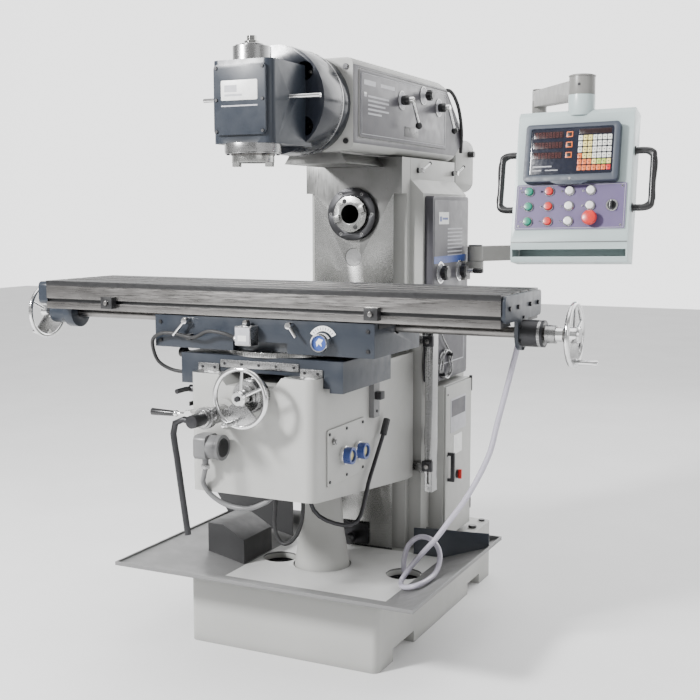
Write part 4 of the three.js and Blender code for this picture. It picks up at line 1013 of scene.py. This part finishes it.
def button_pieces():
    colours = {"green": GREEN, "red": RED, "white": WHITE}
    columns = {"green": -131, "red": -67, "white": -2}
    collars = on_panel("button_collars", slot="chrome")
    marks = on_panel("button_marks", slot="white_plastic")
    for colour, count in (("green", 3), ("red", 3), ("white", 5)):
        for n in range(count):
            x = columns[colour] if n < 3 else 64
            z = -22 - 48 * (n if n < 3 else n - 3)
            name = f"button_{colour}_{n + 1}"
            p = on_panel(name + "_cap", name, colour + "_plastic")
            cap = [(0, -3.6), (12.4, -3.6), (12.4, -12), (11.6, -14.4), (9, -15), (0, -14.6)]
            p.add(turn("y", cap, (x, 0, z)), colours[colour])
            p.done(name)
            collars.add(hoop("y", 15.8, 14.1, -7, -3, (x, 0, z)), CHROME)
            plate(marks, x - 28, x - 20, z - 3, z + 3, -3.6, -2.9, LABEL, 1, 0)
            plate(marks, x - 24, x - 21, z + 6, z + 8, -3.5, -2.9, LABEL, 0.5, 0)
    collars.add(hoop("y", 18, 12.8, -6, -3, (68, 0, -112)), RED)
    collars.add(hoop("y", 18.5, 13.4, -7, -3, (131, 0, -70)), CHROME)
    collars.done()
    for s in (-1, 1):
        arc = [(-70 + r * math.sin(math.radians(a)), 131 + s * r * math.cos(math.radians(a)))
               for r, angles in ((25, range(-35, 36, 10)), (22.5, range(35, -36, -10))) for a in angles]
        marks.add(prism("y", arc, -3.5, -2.9), LABEL)
    marks.done()
    stop = on_panel("stop_button_cap", "stop_button", "red_plastic")
    shank, head = [(0, -3.6), (12, -3.6), (12, -16)], [(20, -17), (23, -20), (23, -27), (20, -32), (13, -34)]
    profile = shank + head + [(0, -34)]
    stop.add(turn("y", profile, (68, 0, -112)), RED)
    stop.done("stop_button")
    knob = on_panel("selector_knob", "selector_switch", "black_plastic")
    knob.add(disc("y", 13, -11.3, -3.4, (131, 0, -70), 1), BLACK)
    knob.add(block(127, 135, -23, -10, -83, -57), BLACK, 1.6)
    knob.add(block(130, 132, -23.2, -22.9, -62, -57.5), WHITE)
    knob.done("selector_switch")


def pendant_details():
    p = on_panel("button_plate", slot="purple_paint")
    plate(p, -173, 173, -143, 1, -3.6, -3, VIOLET, 5, 0)
    for x0, x1, z0, z1 in ((-168, 168, -3.5, -2.3), (-168, 168, -139.7, -138.5), (-169, -167.8, -139, -3),
                           (167.8, 169, -139, -3)):
        p.add(block(x0, x1, -3.9, -3.5, z0, z1), LABEL_GREY)
    for x in (-160, 0, 160):
        for z in (-10, -132):
            if x or z:
                screw(p, "y", 3.6, (x, -3.6, z), -1.6, SATIN)
    p.done()
    q = on_panel("pendant_trim", slot="mint_paint")
    q.add(block(-183, 183, -1.2, 0, -184, -181.5), GREY, 0.3)
    for x in (-150, 150):
        for z in (-60, 140):
            q.add(disc("y", 5, 91, 93.5, (x, 0, z), 0.4, 20), DARK)
    q.done()
    for s in (-1, 1):
        h = on_panel("pendant_handle_" + ("left" if s < 0 else "right"), slot="black_plastic")
        x = s * 180.5
        out = s * 60
        lower, upper = [(0, -68), (0.62, -68), (0.93, -62), (1, -46)], [(0.93, 106), (0.62, 112), (0, 112)]
        bend = lower + [(1, 0), (1, 90)] + upper
        h.add(tube([(x + out * share, 40, z) for share, z in bend], 10.6, 8, 20), BLACK)
        for z in (-68, 112):
            h.add(disc("x", 15, s * 183, s * 187, (0, 40, z), 1), BLACK)
        h.done()


def arm_details():
    p = Piece("arm_joint_rings", "pendant_upper_arm", "arm_paint")
    p.add(hoop("z", 42.5, 41, 1884, 1888, (848, -104, 0)), ARM)
    p.add(disc("z", 35, 1888, 1890.5, (848, -104, 0), 1), ARM)
    p.add(disc("y", 4, -147, -143, (848, 0, 1858), 0.5, 18), DARK)
    p.add(disc("z", 28, 1941, 1945, (465, 744, 0), 1.5), ARM)
    p.done()
    q = Piece("lower_arm_caps", "pendant_lower_arm", "arm_paint")
    q.add(disc("z", 27, 1332, 1337, (308, 450, 0), 1.5), DARK)
    q.done()


# ------------------------------------------------------------------ floor and light
def stage_and_light():
    bm = bmesh.new()
    bmesh.ops.create_grid(bm, x_segments=1, y_segments=1, size=14)
    mesh = bpy.data.meshes.new("floor")
    bm.to_mesh(mesh)
    bm.free()
    floor = bpy.data.objects.new("floor", mesh)
    n = Nodes("floor_paint")
    tone = n.blend(n.span(n.noise(2), 0, 1), rgb((0.86, 0.86, 0.86)), rgb((0.9, 0.9, 0.9)))
    n.set(Base_Color=tone, Roughness=0.7)
    mesh.materials.append(n.material)
    bpy.context.scene.collection.objects.link(floor)
    world = bpy.data.worlds.new("studio")
    world.use_nodes = True
    nodes, links = world.node_tree.nodes, world.node_tree.links
    where = nodes.new("ShaderNodeTexCoord")  # a bright backdrop on the far side, a softer studio in front
    parts = nodes.new("ShaderNodeSeparateXYZ")
    links.new(where.outputs["Generated"], parts.inputs[0])
    glow = nodes.new("ShaderNodeMapRange")
    for key, value in (("From Min", 0.1), ("From Max", 0.75), ("To Min", 0.5), ("To Max", 2.6)):
        glow.inputs[key].default_value = value
    links.new(parts.outputs["Y"], glow.inputs["Value"])
    nodes["Background"].inputs["Color"].default_value = (1, 1, 1, 1)
    links.new(glow.outputs[0], nodes["Background"].inputs["Strength"])
    bpy.context.scene.world = world
    for name, at, size, power in (("key", (-2.4, -4.4, 3.6), 0.8, 560), ("fill", (4.6, -3.0, 2.6), 2.6, 45),
                                  ("top", (0.4, -0.6, 5.2), 3.6, 90), ("back", (1.5, 4.5, 3.4), 3.0, 60)):
        data = bpy.data.lights.new(name, "AREA")
        data.size = size
        data.energy = power
        light = bpy.data.objects.new(name, data)
        light.location = at
        light.rotation_euler = (Vector((0.1, -0.2, 1.0)) - Vector(at)).to_track_quat("-Z", "Y").to_euler()
        bpy.context.scene.collection.objects.link(light)


add_camera()
coolant_hose()
castings()
handwheels()
head_details()
ram_details()
knobs_and_levers()
column_details()
cabinet_details()
rail_details()
foot_details()
knee_details()
saddle_details()
table_base_details()
table_details()
readout()
button_pieces()
pendant_details()
arm_details()
stage_and_light()
